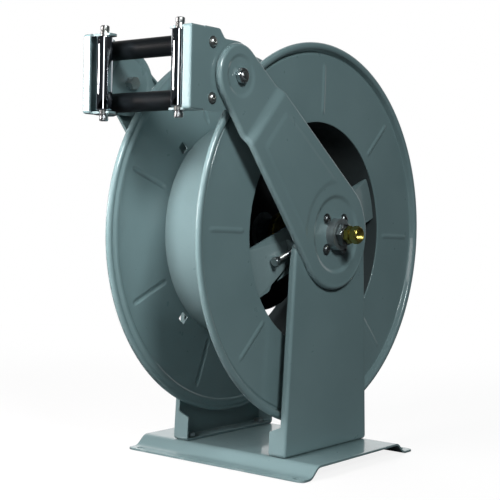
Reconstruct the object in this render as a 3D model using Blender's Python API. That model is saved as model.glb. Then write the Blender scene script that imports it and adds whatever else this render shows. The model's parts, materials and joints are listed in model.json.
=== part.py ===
"""Spring-driven hose reel on two pedestals, with swinging guide arms and a roller mouth.

Units are metres, +Z is up. While it is modelled, the drum turns about the X axis line at
AXLE_HEIGHT, x is 0 half way between the pedestals, the inlet is on the +X (near) side and the
mouth looks towards -Y. The last step moves the whole assembly so that the origin is the middle
of its box on the floor.
"""
import math

import bmesh
import bpy
from mathutils import Matrix, Vector, geometry

# Clearances
FIT_GAP = 0.0003            # between pieces that touch
RUN_GAP = 0.0003            # between a shaft and what turns on it
SWING_GAP = 0.0005          # between pieces that sweep past each other

# Drum
AXLE_HEIGHT = 0.3268
DRUM_SHIFT = 0.002          # the drum sits this far towards the near side
DISC_RADIUS = 0.2738
DISC_SHEET = 0.002
DISC_FACE_X = 0.077         # outer face of each disc's web
DISC_DISH = 0.003           # the web steps in by this at its opening
RIM_WIDTH = 0.009
RIM_HEIGHT = 0.011
RIM_OFFSET = 0.0026         # middle of the rolled rim, outside the web's outer face
BARREL_RADIUS = 0.162
BARREL_WALL = 0.002
RIB_COUNT = 8
RIB_FROM_BARREL = 0.011
RIB_FROM_EDGE = 0.0288
RIB_WIDTH = 0.010
RIB_HEIGHT = 0.0025
NEAR_RIB_ANGLE = math.radians(88.5)
FAR_RIB_ANGLE = math.radians(24.2)
CLAMP_HOLE_SIZE = 0.012     # square holes in the far disc
CLAMP_HOLE_FROM_BARREL = 0.011
CLAMP_HOLE_COUNT = 4
DRUM_SEGMENTS = 40          # a multiple of the rib count

# Spiders and the drum's hubs
SPIDER_X = 0.070
SPIDER_SHEET = 0.004
SPIDER_HALF_WIDTH = 0.032
SPIDER_FLARE_WIDTH = 0.039
SPIDER_FLARE_START = 0.120
SPIDER_ANGLE = math.radians(20.0)
HUB_RADIUS = 0.0285
HUB_FLANGE_RADIUS = 0.044
HUB_FLANGE_SHEET = 0.004
HUB_LENGTH = 0.0135
HUB_LIP = 0.002
BEARING_WALL = 0.005
BEARING_WIDTH = 0.012
BEARING_STEP = 0.0015       # between the faces of its rings

# Axle
AXLE_RADIUS = 0.020
AXLE_SHOULDER_X = 0.086
AXLE_END_RADIUS = 0.0125
AXLE_BORE_RADIUS = 0.008
AXLE_FLANGE_RADIUS = 0.048
AXLE_FLANGE_SHEET = 0.006
AXLE_BOLT_CIRCLE = 0.039
AXLE_BOLT_RADIUS = 0.004
AXLE_BOLT_HEAD = 0.0075
AXLE_BOLT_HEAD_HEIGHT = 0.0035
AXLE_SPACER_RADIUS = 0.025
ROUND_SEGMENTS = 16

# Pedestals and base
PEDESTAL_X = 0.103
PEDESTAL_SHEET = 0.003
PEDESTAL_FOOT_HALF = 0.1035
PEDESTAL_HEAD_HALF = 0.086
PEDESTAL_TOP_RADIUS = 0.078
PEDESTAL_SHOULDER = 0.012    # how far below the axle the side flanges end
PEDESTAL_SHOULDER_RISE = 0.018
PEDESTAL_FLANGE = 0.011
PEDESTAL_FOOT_FLANGE = 0.028
PEDESTAL_FOOT_FLANGE_HEIGHT = 0.034
PEDESTAL_CHAMFER = 0.0075
PEDESTAL_BEND = 0.0042
PEDESTAL_RELIEF = 0.0065     # corner cut between two folds
BASE_HEIGHT = 0.0176
BASE_SHEET = 0.003
BASE_HALF_LENGTH = 0.1600
BASE_HALF_WIDTH = 0.1405
BASE_REAR_EXTRA = 0.0065     # the rear foot is deeper than the front one
BASE_FOOT = 0.0205
BASE_SLOPE = 0.0165
BASE_BEND = 0.004
BASE_CORNER = 0.008
BASE_HOLE_RADIUS = 0.0045
BASE_HOLE_INSET_X = 0.017
BASE_HOLE_INSET_Y = 0.0095
BASE_BOLT_X = 0.087
BASE_BOLT_Y = 0.083
BASE_BOLT_RADIUS = 0.004
BASE_BOLT_FLATS = 0.013
BASE_BOLT_HEAD = 0.0055
BASE_NUT_WIDTH = 0.0065

# Guide arms
ARM_LENGTH = 0.2975
ARM_ANGLE = math.radians(136.8)
ARM_FACE_X = 0.111
ARM_UPPER_FACE_X = 0.1045
ARM_SHEET = 0.003
ARM_DEPTH = 0.0075
ARM_HUB_RADIUS = 0.0795
ARM_END_RADIUS = 0.042
ARM_FOLD = 0.005
JOGGLE_START = 0.222
JOGGLE_LENGTH = 0.016
ARM_DISH_RADIUS = 0.057
ARM_DISH_INNER = 0.050
ARM_DISH_DEPTH = 0.003       # the arm steps in by this round its hub
ARM_PANEL_MARGIN = 0.020
ARM_PANEL_START = 0.074
ARM_PANEL_END = 0.205
ARM_PANEL_RISE = 0.0015
ARM_PANEL_EDGE = 0.004
ARM_PANEL_CORNER = 0.006
PIVOT_DISH_RADIUS = 0.029
PIVOT_DISH_INNER = 0.023
PIVOT_DISH_DEPTH = 0.0015

# Arm hubs, lock nuts and inlet
ARM_BOSS_RADIUS = 0.0225
ARM_BOSS_LENGTH = 0.009      # past the arm's outer face
ARM_HUB_PLATE_RADIUS = 0.037
HUB_SCREW_CIRCLE = 0.0305
HUB_SCREW_COUNT = 4
HUB_SCREW_RADIUS = 0.003
HUB_SCREW_HEAD = 0.0065
HUB_SCREW_HEAD_HEIGHT = 0.0045
LOCK_NUT_FLATS = 0.030
LOCK_NUT_WIDTH = 0.0087
INLET_FLATS = 0.022
INLET_FIRST_HEX = 0.008
INLET_GROOVE = 0.002
INLET_SECOND_HEX = 0.0115
INLET_CHAMFER = 0.0015
INLET_SHANK = 0.012         # how far the fitting reaches into the axle
INLET_BORE_RADIUS = 0.0065
INLET_SOCKET_RADIUS = 0.0085
INLET_SOCKET_DEPTH = 0.011

# Mouth
PIVOT_BOLT_RADIUS = 0.006
PIVOT_NUT_FLATS = 0.019
PIVOT_NUT_WIDTH = 0.0065
PIVOT_THREAD_END = 0.0022
PIVOT_HEAD_FLATS = 0.0165
PIVOT_HEAD_HEIGHT = 0.012
PIVOT_SPACER_RADIUS = 0.020
HEAD_X = 0.095
HEAD_SHEET = 0.003
HEAD_FRONT = 0.088          # front edge ahead of the pivot
HEAD_BACK_OF_BODY = 0.033   # where the tall front part ends, ahead of the pivot
HEAD_HALF_HEIGHT = 0.0525
HEAD_MIDDLE = 0.004         # height of the front part's middle above the pivot
HEAD_TONGUE_RADIUS = 0.045
HEAD_FLANGE = 0.013
HEAD_LUG_REACH = 0.042
HEAD_LUG_LENGTH = 0.026
HEAD_BEND = 0.0042
HEAD_CORNER_RELIEF = 0.0065
HEAD_NECK = 0.010           # slope between the tall front part and the tongue
HEAD_PAD_RISE = 0.002
HEAD_PAD_MARGIN = 0.006
HEAD_PAD_EDGE = 0.004
SIDE_ROLLER_RADIUS = 0.01075
SIDE_ROLLER_X = 0.066        # from the drum's middle
SIDE_PIN_RADIUS = 0.006
SIDE_PIN_END = 0.010
SIDE_EDGE = 0.001           # chamfer of the side rollers and their pins
CROSS_ROLLER_RADIUS = 0.0125
CROSS_ROLLER_AHEAD = 0.0465
CROSS_ROLLER_SPACING = 0.070
CROSS_EDGE = 0.0015
CROSS_AXLE_RADIUS = 0.006
CROSS_SCREW_RADIUS = 0.003
CROSS_SCREW_HEAD = 0.0058
CROSS_SCREW_HEAD_HEIGHT = 0.004
END_PLAY = 0.0012

# Ratchet
RATCHET_TEETH = 12
RATCHET_RADIUS = 0.042
RATCHET_ROOT = 0.036
RATCHET_WIDTH = 0.006
RATCHET_BACK = 0.92         # share of the pitch that a tooth's back takes
RATCHET_HOLLOW = 0.38       # rise of the back half way along it
RATCHET_FACE_ANGLE = math.radians(38.0)     # radial face that the pawl stands against
PAWL_PIVOT_RADIUS = 0.062
PAWL_WIDTH = 0.0055
PAWL_EYE_RADIUS = 0.009
PAWL_PIN_RADIUS = 0.004
PAWL_PIN_HEAD = 0.006
PAWL_PIN_HEAD_HEIGHT = 0.003
PAWL_COLLAR = 0.0075
PAWL_COLLAR_HEIGHT = 0.002
PAWL_SPRING_WIRE = 0.0006
PAWL_SPRING_RADIUS = 0.0056
PAWL_SPRING_TURNS = 2
PAWL_SPRING_LEG = 0.012

# Power spring and its case
SPRING_CASE_RADIUS = 0.118
SPRING_CASE_WALL = 0.002
SPRING_CASE_WIDTH = 0.042
SPRING_ARBOR_RADIUS = 0.030
SPRING_STRIP = 0.0015
SPRING_STRIP_WIDTH = 0.032
SPRING_TURNS = 5
SPRING_STEPS = 14
CASE_SEGMENTS = 24

# Swivel and hose outlet
SWIVEL_X = 0.026
SWIVEL_LENGTH = 0.040
SWIVEL_RADIUS = 0.030
SWIVEL_CHAMBER_RADIUS = 0.025
SWIVEL_CHAMBER_LENGTH = 0.012
SEAL_WIDTH = 0.005
OUTLET_ANGLE = math.radians(-35.0)
OUTLET_PIPE_RADIUS = 0.0095
OUTLET_PIPE_BORE = 0.0065
OUTLET_FOOT_RIM = 0.004
OUTLET_FOOT_LENGTH = 0.008
OUTLET_NUT_FLATS = 0.027
OUTLET_NUT_WIDTH = 0.012
OUTLET_END = 0.014          # how far the connector stands out of the barrel

# Clamp for the hose's inner end, on the near spider
CLAMP_LUG_FROM_BARREL = 0.098
CLAMP_LUG_WIDTH = 0.030
CLAMP_LUG_HEIGHT = 0.018
CLAMP_LUG_SHEET = 0.004
CLAMP_BOLT_X = 0.079
CLAMP_BOLT_RADIUS = 0.004
CLAMP_BOLT_REACH = 0.0405    # from the lug's outer face to the bolt's head
CLAMP_BOLT_HEAD = 0.0055
CLAMP_BOLT_FLATS = 0.012
CLAMP_NUT_WIDTH = 0.0065
CLAMP_THREAD_END = 0.003

# Worked out from the sizes above
RIB_INNER_RADIUS = BARREL_RADIUS + RIB_FROM_BARREL
RIB_OUTER_RADIUS = DISC_RADIUS - RIB_FROM_EDGE
CLAMP_HOLE_RADIUS = BARREL_RADIUS + CLAMP_HOLE_FROM_BARREL
CLAMP_LUG_REACH = BARREL_RADIUS - CLAMP_LUG_FROM_BARREL
BARREL_HALF = DISC_FACE_X - DISC_DISH
PEDESTAL_INNER_X = PEDESTAL_X - PEDESTAL_SHEET
ARM_DISH_X = ARM_FACE_X - ARM_DISH_DEPTH
ARM_TOP_X = ARM_FACE_X + ARM_BOSS_LENGTH
LOCK_NUT_X = ARM_TOP_X + FIT_GAP
LOCK_NUT_END_X = LOCK_NUT_X + LOCK_NUT_WIDTH
AXLE_END_X = LOCK_NUT_END_X - 0.001
SPIDER_INNER_X = SPIDER_X - SPIDER_SHEET
PIVOT_Y = ARM_LENGTH * math.cos(ARM_ANGLE)
PIVOT_Z = ARM_LENGTH * math.sin(ARM_ANGLE)
HEAD_INNER_X = HEAD_X - HEAD_SHEET
SIDE_ROLLER_Y = -HEAD_FRONT + SIDE_ROLLER_RADIUS - 0.001     # from the mouth's pivot, as all its pieces


def make_material(name, color, roughness, metallic):
    material = bpy.data.materials.new(name)
    material.use_nodes = True
    shader = material.node_tree.nodes["Principled BSDF"]
    shader.inputs["Base Color"].default_value = (*color, 1.0)
    shader.inputs["Roughness"].default_value = roughness
    shader.inputs["Metallic"].default_value = metallic
    return material


def clear_bore(radius, gap, segments):
    """Corner radius of a faceted bore whose flats stay a gap away from a round shaft."""
    return (radius + gap) / math.cos(math.pi / segments)


def add_object(name, bm, material, parent, smooth_angle=35.0):
    bmesh.ops.remove_doubles(bm, verts=bm.verts, dist=1e-6)
    bmesh.ops.recalc_face_normals(bm, faces=bm.faces)
    mesh = bpy.data.meshes.new(name)
    bm.to_mesh(mesh)
    bm.free()
    mesh.materials.append(material)
    mesh.shade_smooth()
    mesh.set_sharp_from_angle(angle=math.radians(smooth_angle))
    obj = bpy.data.objects.new(name, mesh)
    bpy.context.collection.objects.link(obj)
    obj.parent = parent
    return obj


def add_empty(name, parent, location=(0.0, 0.0, 0.0)):
    empty = bpy.data.objects.new(name, None)
    empty.empty_display_size = 0.05
    bpy.context.collection.objects.link(empty)
    empty.parent = parent
    empty.location = location
    return empty


def arc(center, radius, start, end, steps, last=True):
    """Points of an arc, from the start angle to the end angle."""
    count = steps + 1 if last else steps
    return [(center[0] + radius * math.cos(start + (end - start) * i / steps),
             center[1] + radius * math.sin(start + (end - start) * i / steps)) for i in range(count)]


def circle(center, radius, steps, start=0.0):
    return arc(center, radius, start, start + 2 * math.pi, steps, last=False)


def regular_hexagon(flats):
    return circle((0.0, 0.0), flats / math.sqrt(3.0), 6)


def turn_point(point, angle):
    cos_a, sin_a = math.cos(angle), math.sin(angle)
    return (point[0] * cos_a - point[1] * sin_a, point[0] * sin_a + point[1] * cos_a)


def turned_mesh(bm, profile, segments, matrix=None):
    """Spin a profile of (x, radius) points about the X axis; ends on the axis stay open."""
    on_axis = profile[0][1] == 0.0 and profile[-1][1] == 0.0
    verts = [bm.verts.new((x, 0.0, radius)) for x, radius in profile]
    pairs = list(zip(verts, verts[1:])) + ([] if on_axis else [(verts[-1], verts[0])])
    edges = [bm.edges.new(pair) for pair in pairs]
    before = set(bm.verts) - set(verts)
    bmesh.ops.spin(bm, geom=verts + edges, cent=(0, 0, 0), axis=(1, 0, 0), angle=2 * math.pi,
                   steps=segments, use_merge=True, use_duplicate=False)
    made = [v for v in bm.verts if v not in before]
    bmesh.ops.remove_doubles(bm, verts=made, dist=1e-6)
    if matrix is not None:
        bmesh.ops.transform(bm, matrix=matrix, verts=[v for v in bm.verts if v not in before])


def turned(name, profile, material, parent, segments=ROUND_SEGMENTS, matrix=None):
    bm = bmesh.new()
    turned_mesh(bm, profile, segments, matrix)
    return add_object(name, bm, material, parent)


def prism_mesh(bm, outline, low, high, matrix=None):
    """Extrude an outline of (y, z) points along X, from low to high."""
    bottom = [bm.verts.new((low, y, z)) for y, z in outline]
    face = bm.faces.new(bottom)
    made = bmesh.ops.extrude_face_region(bm, geom=[face])["geom"]
    top = [v for v in made if isinstance(v, bmesh.types.BMVert)]
    bmesh.ops.translate(bm, vec=(high - low, 0.0, 0.0), verts=top)
    if matrix is not None:
        bmesh.ops.transform(bm, matrix=matrix, verts=bottom + top)


def along(direction, origin=(0.0, 0.0, 0.0)):
    """Matrix that takes the X axis to a direction, starting at an origin."""
    turn = Vector((1.0, 0.0, 0.0)).rotation_difference(Vector(direction).normalized())
    return Matrix.Translation(origin) @ turn.to_matrix().to_4x4()


def cut(target, cutter_bm, name):
    """Take a cutter's volume out of an object; the cutter stays as a hidden guide."""
    cutter = add_object(name, cutter_bm, target.data.materials[0], target.parent)
    cutter.hide_render = True
    cutter.display_type = "WIRE"
    modifier = target.modifiers.new("cut " + name, "BOOLEAN")
    modifier.operation = "DIFFERENCE"
    modifier.solver = "EXACT"
    modifier.object = cutter
    return cutter


def join(target, extra_bm, name):
    """Weld a second shape onto an object; the shape stays as a hidden guide."""
    extra = add_object(name, extra_bm, target.data.materials[0], target.parent)
    extra.hide_render = True
    extra.display_type = "WIRE"
    modifier = target.modifiers.new("weld " + name, "BOOLEAN")
    modifier.operation = "UNION"
    modifier.solver = "EXACT"
    modifier.object = extra


def inside(point, loop):
    """Whether a point lies in a closed loop of points."""
    hit = False
    for (ay, az), (by, bz) in zip(loop, loop[1:] + loop[:1]):
        if (az > point[1]) != (bz > point[1]) and point[0] < (by - ay) * (point[1] - az) / (bz - az) + ay:
            hit = not hit
    return hit


def pressed_face(bm, outline, loops, holes, height):
    """Fill an outline of (y, z) points with triangles that keep every loop as an edge.

    loops are (points, rise) pairs of the pressed features, holes are left open, and height
    gives the face's own X at a point. Returns the outline's vertices.
    """
    points = list(outline)
    rises = [0.0] * len(outline)
    edges = [(i, (i + 1) % len(outline)) for i in range(len(outline))]
    for loop, rise in loops:
        first = len(points)
        points += loop
        rises += [rise] * len(loop)
        if len(loop) > 2:
            edges += [(first + i, first + (i + 1) % len(loop)) for i in range(len(loop))]
    flat = [Vector(p) for p in points]
    out_points, _, out_faces, sources, _, _ = geometry.delaunay_2d_cdt(flat, edges, [], 1, 1e-7)
    verts = []
    for point, source in zip(out_points, sources):
        rise = rises[source[0]] if source else 0.0
        verts.append(bm.verts.new((height(point) + rise, point.x, point.y)))
    for face in out_faces:
        middle = sum((out_points[i] for i in face), Vector((0.0, 0.0))) / 3
        if not any(inside(middle, hole) for hole in holes):
            bm.faces.new([verts[i] for i in face])
    lookup = {source[0]: i for i, source in enumerate(sources) if source}
    return [verts[lookup[i]] for i in range(len(outline))]


def fold_rings(bm, verts, rings):
    """Carry an edge loop through rings of points, which makes a folded flange."""
    last = verts
    for ring in rings:
        new = [bm.verts.new(point) for point in ring]
        for i in range(len(new)):
            j = (i + 1) % len(new)
            bm.faces.new((last[i], last[j], new[j], new[i]))
        last = new
    return last


def finish_sheet(name, bm, side, material, parent, sheet, smooth_angle=35.0):
    """Close a face modelled for the near side into a sheet; the far side is its mirror image."""
    loose = [v for v in bm.verts if not v.link_faces]
    bmesh.ops.delete(bm, geom=loose, context="VERTS")
    bmesh.ops.remove_doubles(bm, verts=bm.verts, dist=1e-6)
    bmesh.ops.recalc_face_normals(bm, faces=bm.faces)
    top = max(bm.faces, key=lambda f: f.calc_area())
    if top.normal.x < 0.0:
        bmesh.ops.reverse_faces(bm, faces=bm.faces)
    if side < 0:
        bmesh.ops.scale(bm, vec=(-1.0, 1.0, 1.0), verts=bm.verts)
        bmesh.ops.reverse_faces(bm, faces=bm.faces)
    mesh = bpy.data.meshes.new(name)
    bm.to_mesh(mesh)
    bm.free()
    mesh.materials.append(material)
    mesh.shade_smooth()
    mesh.set_sharp_from_angle(angle=math.radians(smooth_angle))
    obj = bpy.data.objects.new(name, mesh)
    bpy.context.collection.objects.link(obj)
    obj.parent = parent
    solid = obj.modifiers.new("sheet", "SOLIDIFY")
    solid.thickness = sheet
    solid.offset = -1.0
    solid.use_even_offset = True
    return obj


def side_name(side):
    return "near" if side > 0 else "far"


def disc_section():
    """Closed section of a disc as (radius, x, rib share, in the rib zone) points."""
    out = DISC_FACE_X
    back = DISC_FACE_X - DISC_SHEET
    hole = clear_bore(BARREL_RADIUS, FIT_GAP, DRUM_SEGMENTS)
    ramp = RIB_HEIGHT * 1.2
    rim_x = DISC_FACE_X + RIM_OFFSET
    rim_r = DISC_RADIUS - RIM_HEIGHT / 2
    web_end = DISC_RADIUS - RIM_HEIGHT - DISC_SHEET
    step = hole + DISC_SHEET + DISC_DISH
    rib_in, rib_out = RIB_INNER_RADIUS, RIB_OUTER_RADIUS
    section = [(hole, out - DISC_DISH, 0, 0), (step, out, 0, 0), (rib_in, out, 0, 1), (rib_in + ramp, out, 1, 1),
               (rib_out - ramp, out, 1, 1), (rib_out, out, 0, 1), (web_end, out, 0, 0)]
    for degrees in (125.0, 55.0, -15.0, -75.0):
        angle = math.radians(degrees)
        section.append((rim_r + RIM_HEIGHT / 2 * math.cos(angle), rim_x + RIM_WIDTH / 2 * math.sin(angle), 0, 0))
    section += [(web_end, back, 0, 0), (rib_out, back, 0, 1), (rib_out - ramp, back, 1, 1),
                (rib_in + ramp, back, 1, 1), (rib_in, back, 0, 1),
                (step, back, 0, 0), (hole, back - DISC_DISH, 0, 0)]
    return section


def make_disc(side, rib_angle, material, parent):
    """One disc: a polar grid, evenly spaced at the rim and drawn together along each rib."""
    section = disc_section()
    lines = DRUM_SEGMENTS // RIB_COUNT
    sector = 2 * math.pi / RIB_COUNT
    rib_lines = [(-RIB_WIDTH / 2, 0), (-RIB_WIDTH / 5, 1), (RIB_WIDTH / 5, 1), (RIB_WIDTH / 2, 0)]
    columns = []
    bm = bmesh.new()
    for index in range(RIB_COUNT):
        middle = rib_angle + index * sector
        for line in range(lines):
            even = middle + sector * (line - (len(rib_lines) - 1) / 2) / lines
            column = []
            for r, x, share, in_rib in section:
                on_rib = in_rib and line < len(rib_lines)
                offset, rise = rib_lines[line] if on_rib else (0.0, 0)
                angle = middle + offset / r if on_rib else even
                height = side * (x + RIB_HEIGHT * rise * share)
                column.append(bm.verts.new((height, r * math.cos(angle), r * math.sin(angle))))
            columns.append(column)
    for i, column in enumerate(columns):
        following = columns[(i + 1) % len(columns)]
        for j in range(len(section)):
            k = (j + 1) % len(section)
            bm.faces.new((column[j], column[k], following[k], following[j]))
    return add_object("disc_" + side_name(side), bm, material, parent, 25.0)


def make_clamp_holes(disc, side):
    """Square holes through a disc, half way between its ribs."""
    bm = bmesh.new()
    half = CLAMP_HOLE_SIZE / 2
    first = FAR_RIB_ANGLE + math.pi / RIB_COUNT
    square = [(CLAMP_HOLE_RADIUS - half, -half), (CLAMP_HOLE_RADIUS + half, -half),
              (CLAMP_HOLE_RADIUS + half, half), (CLAMP_HOLE_RADIUS - half, half)]
    for index in range(CLAMP_HOLE_COUNT):
        angle = first + index * 2 * math.pi / CLAMP_HOLE_COUNT
        low = DISC_FACE_X - 4 * DISC_SHEET
        high = DISC_FACE_X + 4 * DISC_SHEET
        prism_mesh(bm, [turn_point(p, angle) for p in square], side * low, side * high)
    cut(disc, bm, "clamp_hole_cutter")


def make_barrel(material, parent):
    inner = BARREL_RADIUS - BARREL_WALL
    profile = [(-BARREL_HALF, inner), (-BARREL_HALF, BARREL_RADIUS),
               (BARREL_HALF, BARREL_RADIUS), (BARREL_HALF, inner)]
    barrel = turned("barrel", profile, material, parent, DRUM_SEGMENTS)
    bm = bmesh.new()
    direction = (0.0, math.cos(OUTLET_ANGLE), math.sin(OUTLET_ANGLE))
    length = 6 * BARREL_WALL
    start = BARREL_RADIUS - length
    hole = clear_bore(OUTLET_PIPE_RADIUS, FIT_GAP, 12)
    turned_mesh(bm, [(0.0, 0.0), (0.0, hole), (2 * length, hole), (2 * length, 0.0)], 12,
                Matrix.Translation((SWIVEL_X, 0, 0)) @ along(direction, Vector(direction) * start))
    cut(barrel, bm, "outlet_hole_cutter")
    return barrel


def spider_end(sign, half_low, half_high, radius, steps=4):
    """End of a spider bar as an arc on the barrel's inner wall, in the bar's own axes."""
    low = math.asin(half_low / radius)
    high = math.asin(half_high / radius)
    if sign > 0:
        return arc((0.0, 0.0), radius, -low, high, steps)
    return arc((0.0, 0.0), radius, math.pi - high, math.pi + low, steps)


def make_spider(side, material, parent):
    """Flat bar across the barrel, flared on its lower edge at one end."""
    radius = (BARREL_RADIUS - BARREL_WALL) * math.cos(math.pi / DRUM_SEGMENTS) - FIT_GAP
    half, flare = SPIDER_HALF_WIDTH, SPIDER_FLARE_WIDTH
    outline = spider_end(1, half, half, radius) + spider_end(-1, flare, half, radius)
    outline += [(-SPIDER_FLARE_START - (flare - half), -flare), (-SPIDER_FLARE_START, -half)]
    outline = [turn_point(p, SPIDER_ANGLE) for p in outline]
    hub_hole = circle((0.0, 0.0), clear_bore(HUB_RADIUS, FIT_GAP, 16), 16)
    holes = [hub_hole]
    if side > 0:
        pawl_pin = turn_point((PAWL_PIVOT_RADIUS, 0.0), SPIDER_ANGLE)
        holes.append(circle(pawl_pin, clear_bore(PAWL_PIN_RADIUS, FIT_GAP, 10), 10))
    bm = bmesh.new()
    pressed_face(bm, outline, [(hole, 0.0) for hole in holes], holes, lambda point: SPIDER_X)
    return finish_sheet("spider_" + side_name(side), bm, side, material, parent, SPIDER_SHEET)


def make_hub(side, material, parent):
    """Hub welded in a spider: a flange behind the bar and a sleeve that holds the bearing."""
    seat = clear_bore(AXLE_RADIUS + RUN_GAP + BEARING_WALL, FIT_GAP, ROUND_SEGMENTS)
    flange_high = SPIDER_INNER_X - FIT_GAP
    flange_low = flange_high - HUB_FLANGE_SHEET
    end = flange_low + HUB_LENGTH + HUB_LIP
    lip = seat - HUB_LIP
    profile = [(flange_low, seat), (flange_low, HUB_FLANGE_RADIUS), (flange_high, HUB_FLANGE_RADIUS),
               (flange_high, HUB_RADIUS), (end, HUB_RADIUS), (end, lip),
               (end - HUB_LIP, lip), (end - HUB_LIP, seat)]
    turned("hub_" + side_name(side), [(side * x, r) for x, r in profile], material, parent)
    return flange_low


def make_bearing(side, low, material, parent):
    """Ball bearing with the step between its rings on its outer face."""
    inner = clear_bore(AXLE_RADIUS, RUN_GAP, ROUND_SEGMENTS)
    outer = AXLE_RADIUS + RUN_GAP + BEARING_WALL
    third = (outer - inner) / 3
    start = low + HUB_LENGTH - BEARING_WIDTH - FIT_GAP
    end = start + BEARING_WIDTH
    step = end - BEARING_STEP
    profile = [(start, inner), (start, outer), (end, outer), (end, outer - third),
               (step, outer - third), (step, inner + third), (end, inner + third), (end, inner)]
    turned("bearing_" + side_name(side), [(side * x, r) for x, r in profile], material, parent)


def make_axle(material, parent):
    """Fixed stepped axle with a water bore from the inlet end to the swivel."""
    bore_end = DRUM_SHIFT + SWIVEL_X - SWIVEL_CHAMBER_LENGTH
    profile = [(-AXLE_END_X, 0.0), (-AXLE_END_X, AXLE_END_RADIUS), (-AXLE_SHOULDER_X, AXLE_END_RADIUS),
               (-AXLE_SHOULDER_X, AXLE_RADIUS), (AXLE_SHOULDER_X, AXLE_RADIUS),
               (AXLE_SHOULDER_X, AXLE_END_RADIUS), (AXLE_END_X, AXLE_END_RADIUS),
               (AXLE_END_X, AXLE_BORE_RADIUS), (bore_end, AXLE_BORE_RADIUS), (bore_end, 0.0)]
    turned("axle", profile, material, parent)


def axle_bolt_spots():
    return [turn_point((AXLE_BOLT_CIRCLE, 0.0), math.pi / 4 + index * math.pi / 2) for index in range(4)]


def make_axle_flange(side, material, parent):
    """Flange that carries the axle on a pedestal's inner face, with its four bolts.

    The bolts reach through the pedestal and end flush with its outer face.
    """
    bore = clear_bore(AXLE_END_RADIUS, FIT_GAP, 12)
    low = AXLE_SHOULDER_X + FIT_GAP
    high = PEDESTAL_INNER_X - FIT_GAP
    plate = high - AXLE_FLANGE_SHEET
    sleeve = AXLE_RADIUS + AXLE_FLANGE_SHEET
    profile = [(low, bore), (low, sleeve), (plate, sleeve), (plate, AXLE_FLANGE_RADIUS),
               (high, AXLE_FLANGE_RADIUS), (high, bore)]
    name = "axle_flange_" + side_name(side)
    flange = turned(name, [(side * x, r) for x, r in profile], material, parent, 12)
    bolts = bmesh.new()
    head = plate - AXLE_BOLT_HEAD_HEIGHT
    tip = PEDESTAL_X - FIT_GAP
    middle = (plate + high) / 2
    profile = [(head, 0.0), (head, AXLE_BOLT_HEAD), (middle, AXLE_BOLT_HEAD), (middle, AXLE_BOLT_RADIUS),
               (tip, AXLE_BOLT_RADIUS), (tip, 0.0)]
    for y, z in axle_bolt_spots():
        turned_mesh(bolts, [(side * x, r) for x, r in profile], 6, Matrix.Translation((0.0, y, z)))
    join(flange, bolts, name + "_bolts")


def pedestal_half(z):
    """Half width of a pedestal at a height above the floor."""
    share = (z - BASE_HEIGHT) / (AXLE_HEIGHT - BASE_HEIGHT)
    return PEDESTAL_FOOT_HALF + (PEDESTAL_HEAD_HALF - PEDESTAL_FOOT_HALF) * share


def make_pedestal(side, material, parent):
    """Folded pedestal: web, front and rear flanges with deep feet, and a bottom flange."""
    low = BASE_HEIGHT + FIT_GAP
    foot_top = low + PEDESTAL_FOOT_FLANGE_HEIGHT
    chamfer_top = foot_top + PEDESTAL_CHAMFER
    shoulder = AXLE_HEIGHT - PEDESTAL_SHOULDER
    shoulder_half = pedestal_half(shoulder)
    start = math.atan2(PEDESTAL_SHOULDER_RISE, shoulder_half)
    top = arc((0.0, AXLE_HEIGHT), PEDESTAL_TOP_RADIUS, start, math.pi - start, 10)
    levels = [low + PEDESTAL_RELIEF, foot_top, chamfer_top, shoulder]
    lean = (PEDESTAL_FOOT_HALF - PEDESTAL_HEAD_HALF) / (AXLE_HEIGHT - BASE_HEIGHT)
    outward = Vector((1.0, lean)).normalized()
    right = [(pedestal_half(z) - PEDESTAL_BEND * outward.x, z - PEDESTAL_BEND * outward.y) for z in levels]
    left = [(-y, z) for y, z in reversed(right)]
    corner = (pedestal_half(low) - PEDESTAL_RELIEF, low + PEDESTAL_BEND)
    outline = [(-corner[0], corner[1]), corner] + right + top + left
    holes = [circle((0.0, AXLE_HEIGHT), clear_bore(AXLE_END_RADIUS, RUN_GAP, 12), 12)]
    for y, z in axle_bolt_spots():
        holes.append(circle((y, z + AXLE_HEIGHT), clear_bore(AXLE_BOLT_RADIUS, FIT_GAP, 6), 6))
    bm = bmesh.new()
    edge = pressed_face(bm, outline, [(hole, 0.0) for hole in holes], holes, lambda point: PEDESTAL_X)
    depths = [PEDESTAL_FOOT_FLANGE, PEDESTAL_FOOT_FLANGE, PEDESTAL_FLANGE, PEDESTAL_FLANGE]
    first_left = len(edge) - len(left)
    fold_flange(bm, edge[2:6], outward, PEDESTAL_BEND, depths)
    fold_flange(bm, edge[first_left:], (-outward.x, outward.y), PEDESTAL_BEND, depths[::-1])
    fold_flange(bm, edge[0:2], (0.0, -1.0), PEDESTAL_BEND, [PEDESTAL_FOOT_FLANGE] * 2)
    pedestal = finish_sheet("pedestal_" + side_name(side), bm, side, material, parent, PEDESTAL_SHEET)
    holes_bm = bmesh.new()
    for y in (-BASE_BOLT_Y, BASE_BOLT_Y):
        matrix = along((0.0, 0.0, 1.0), (side * BASE_BOLT_X, y, low))
        hole = clear_bore(BASE_BOLT_RADIUS, FIT_GAP, 6)
        past = 2 * PEDESTAL_SHEET
        turned_mesh(holes_bm, [(-past, 0.0), (-past, hole), (past, hole), (past, 0.0)], 6, matrix)
    cut(pedestal, holes_bm, pedestal.name + "_bolt_holes")


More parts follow.
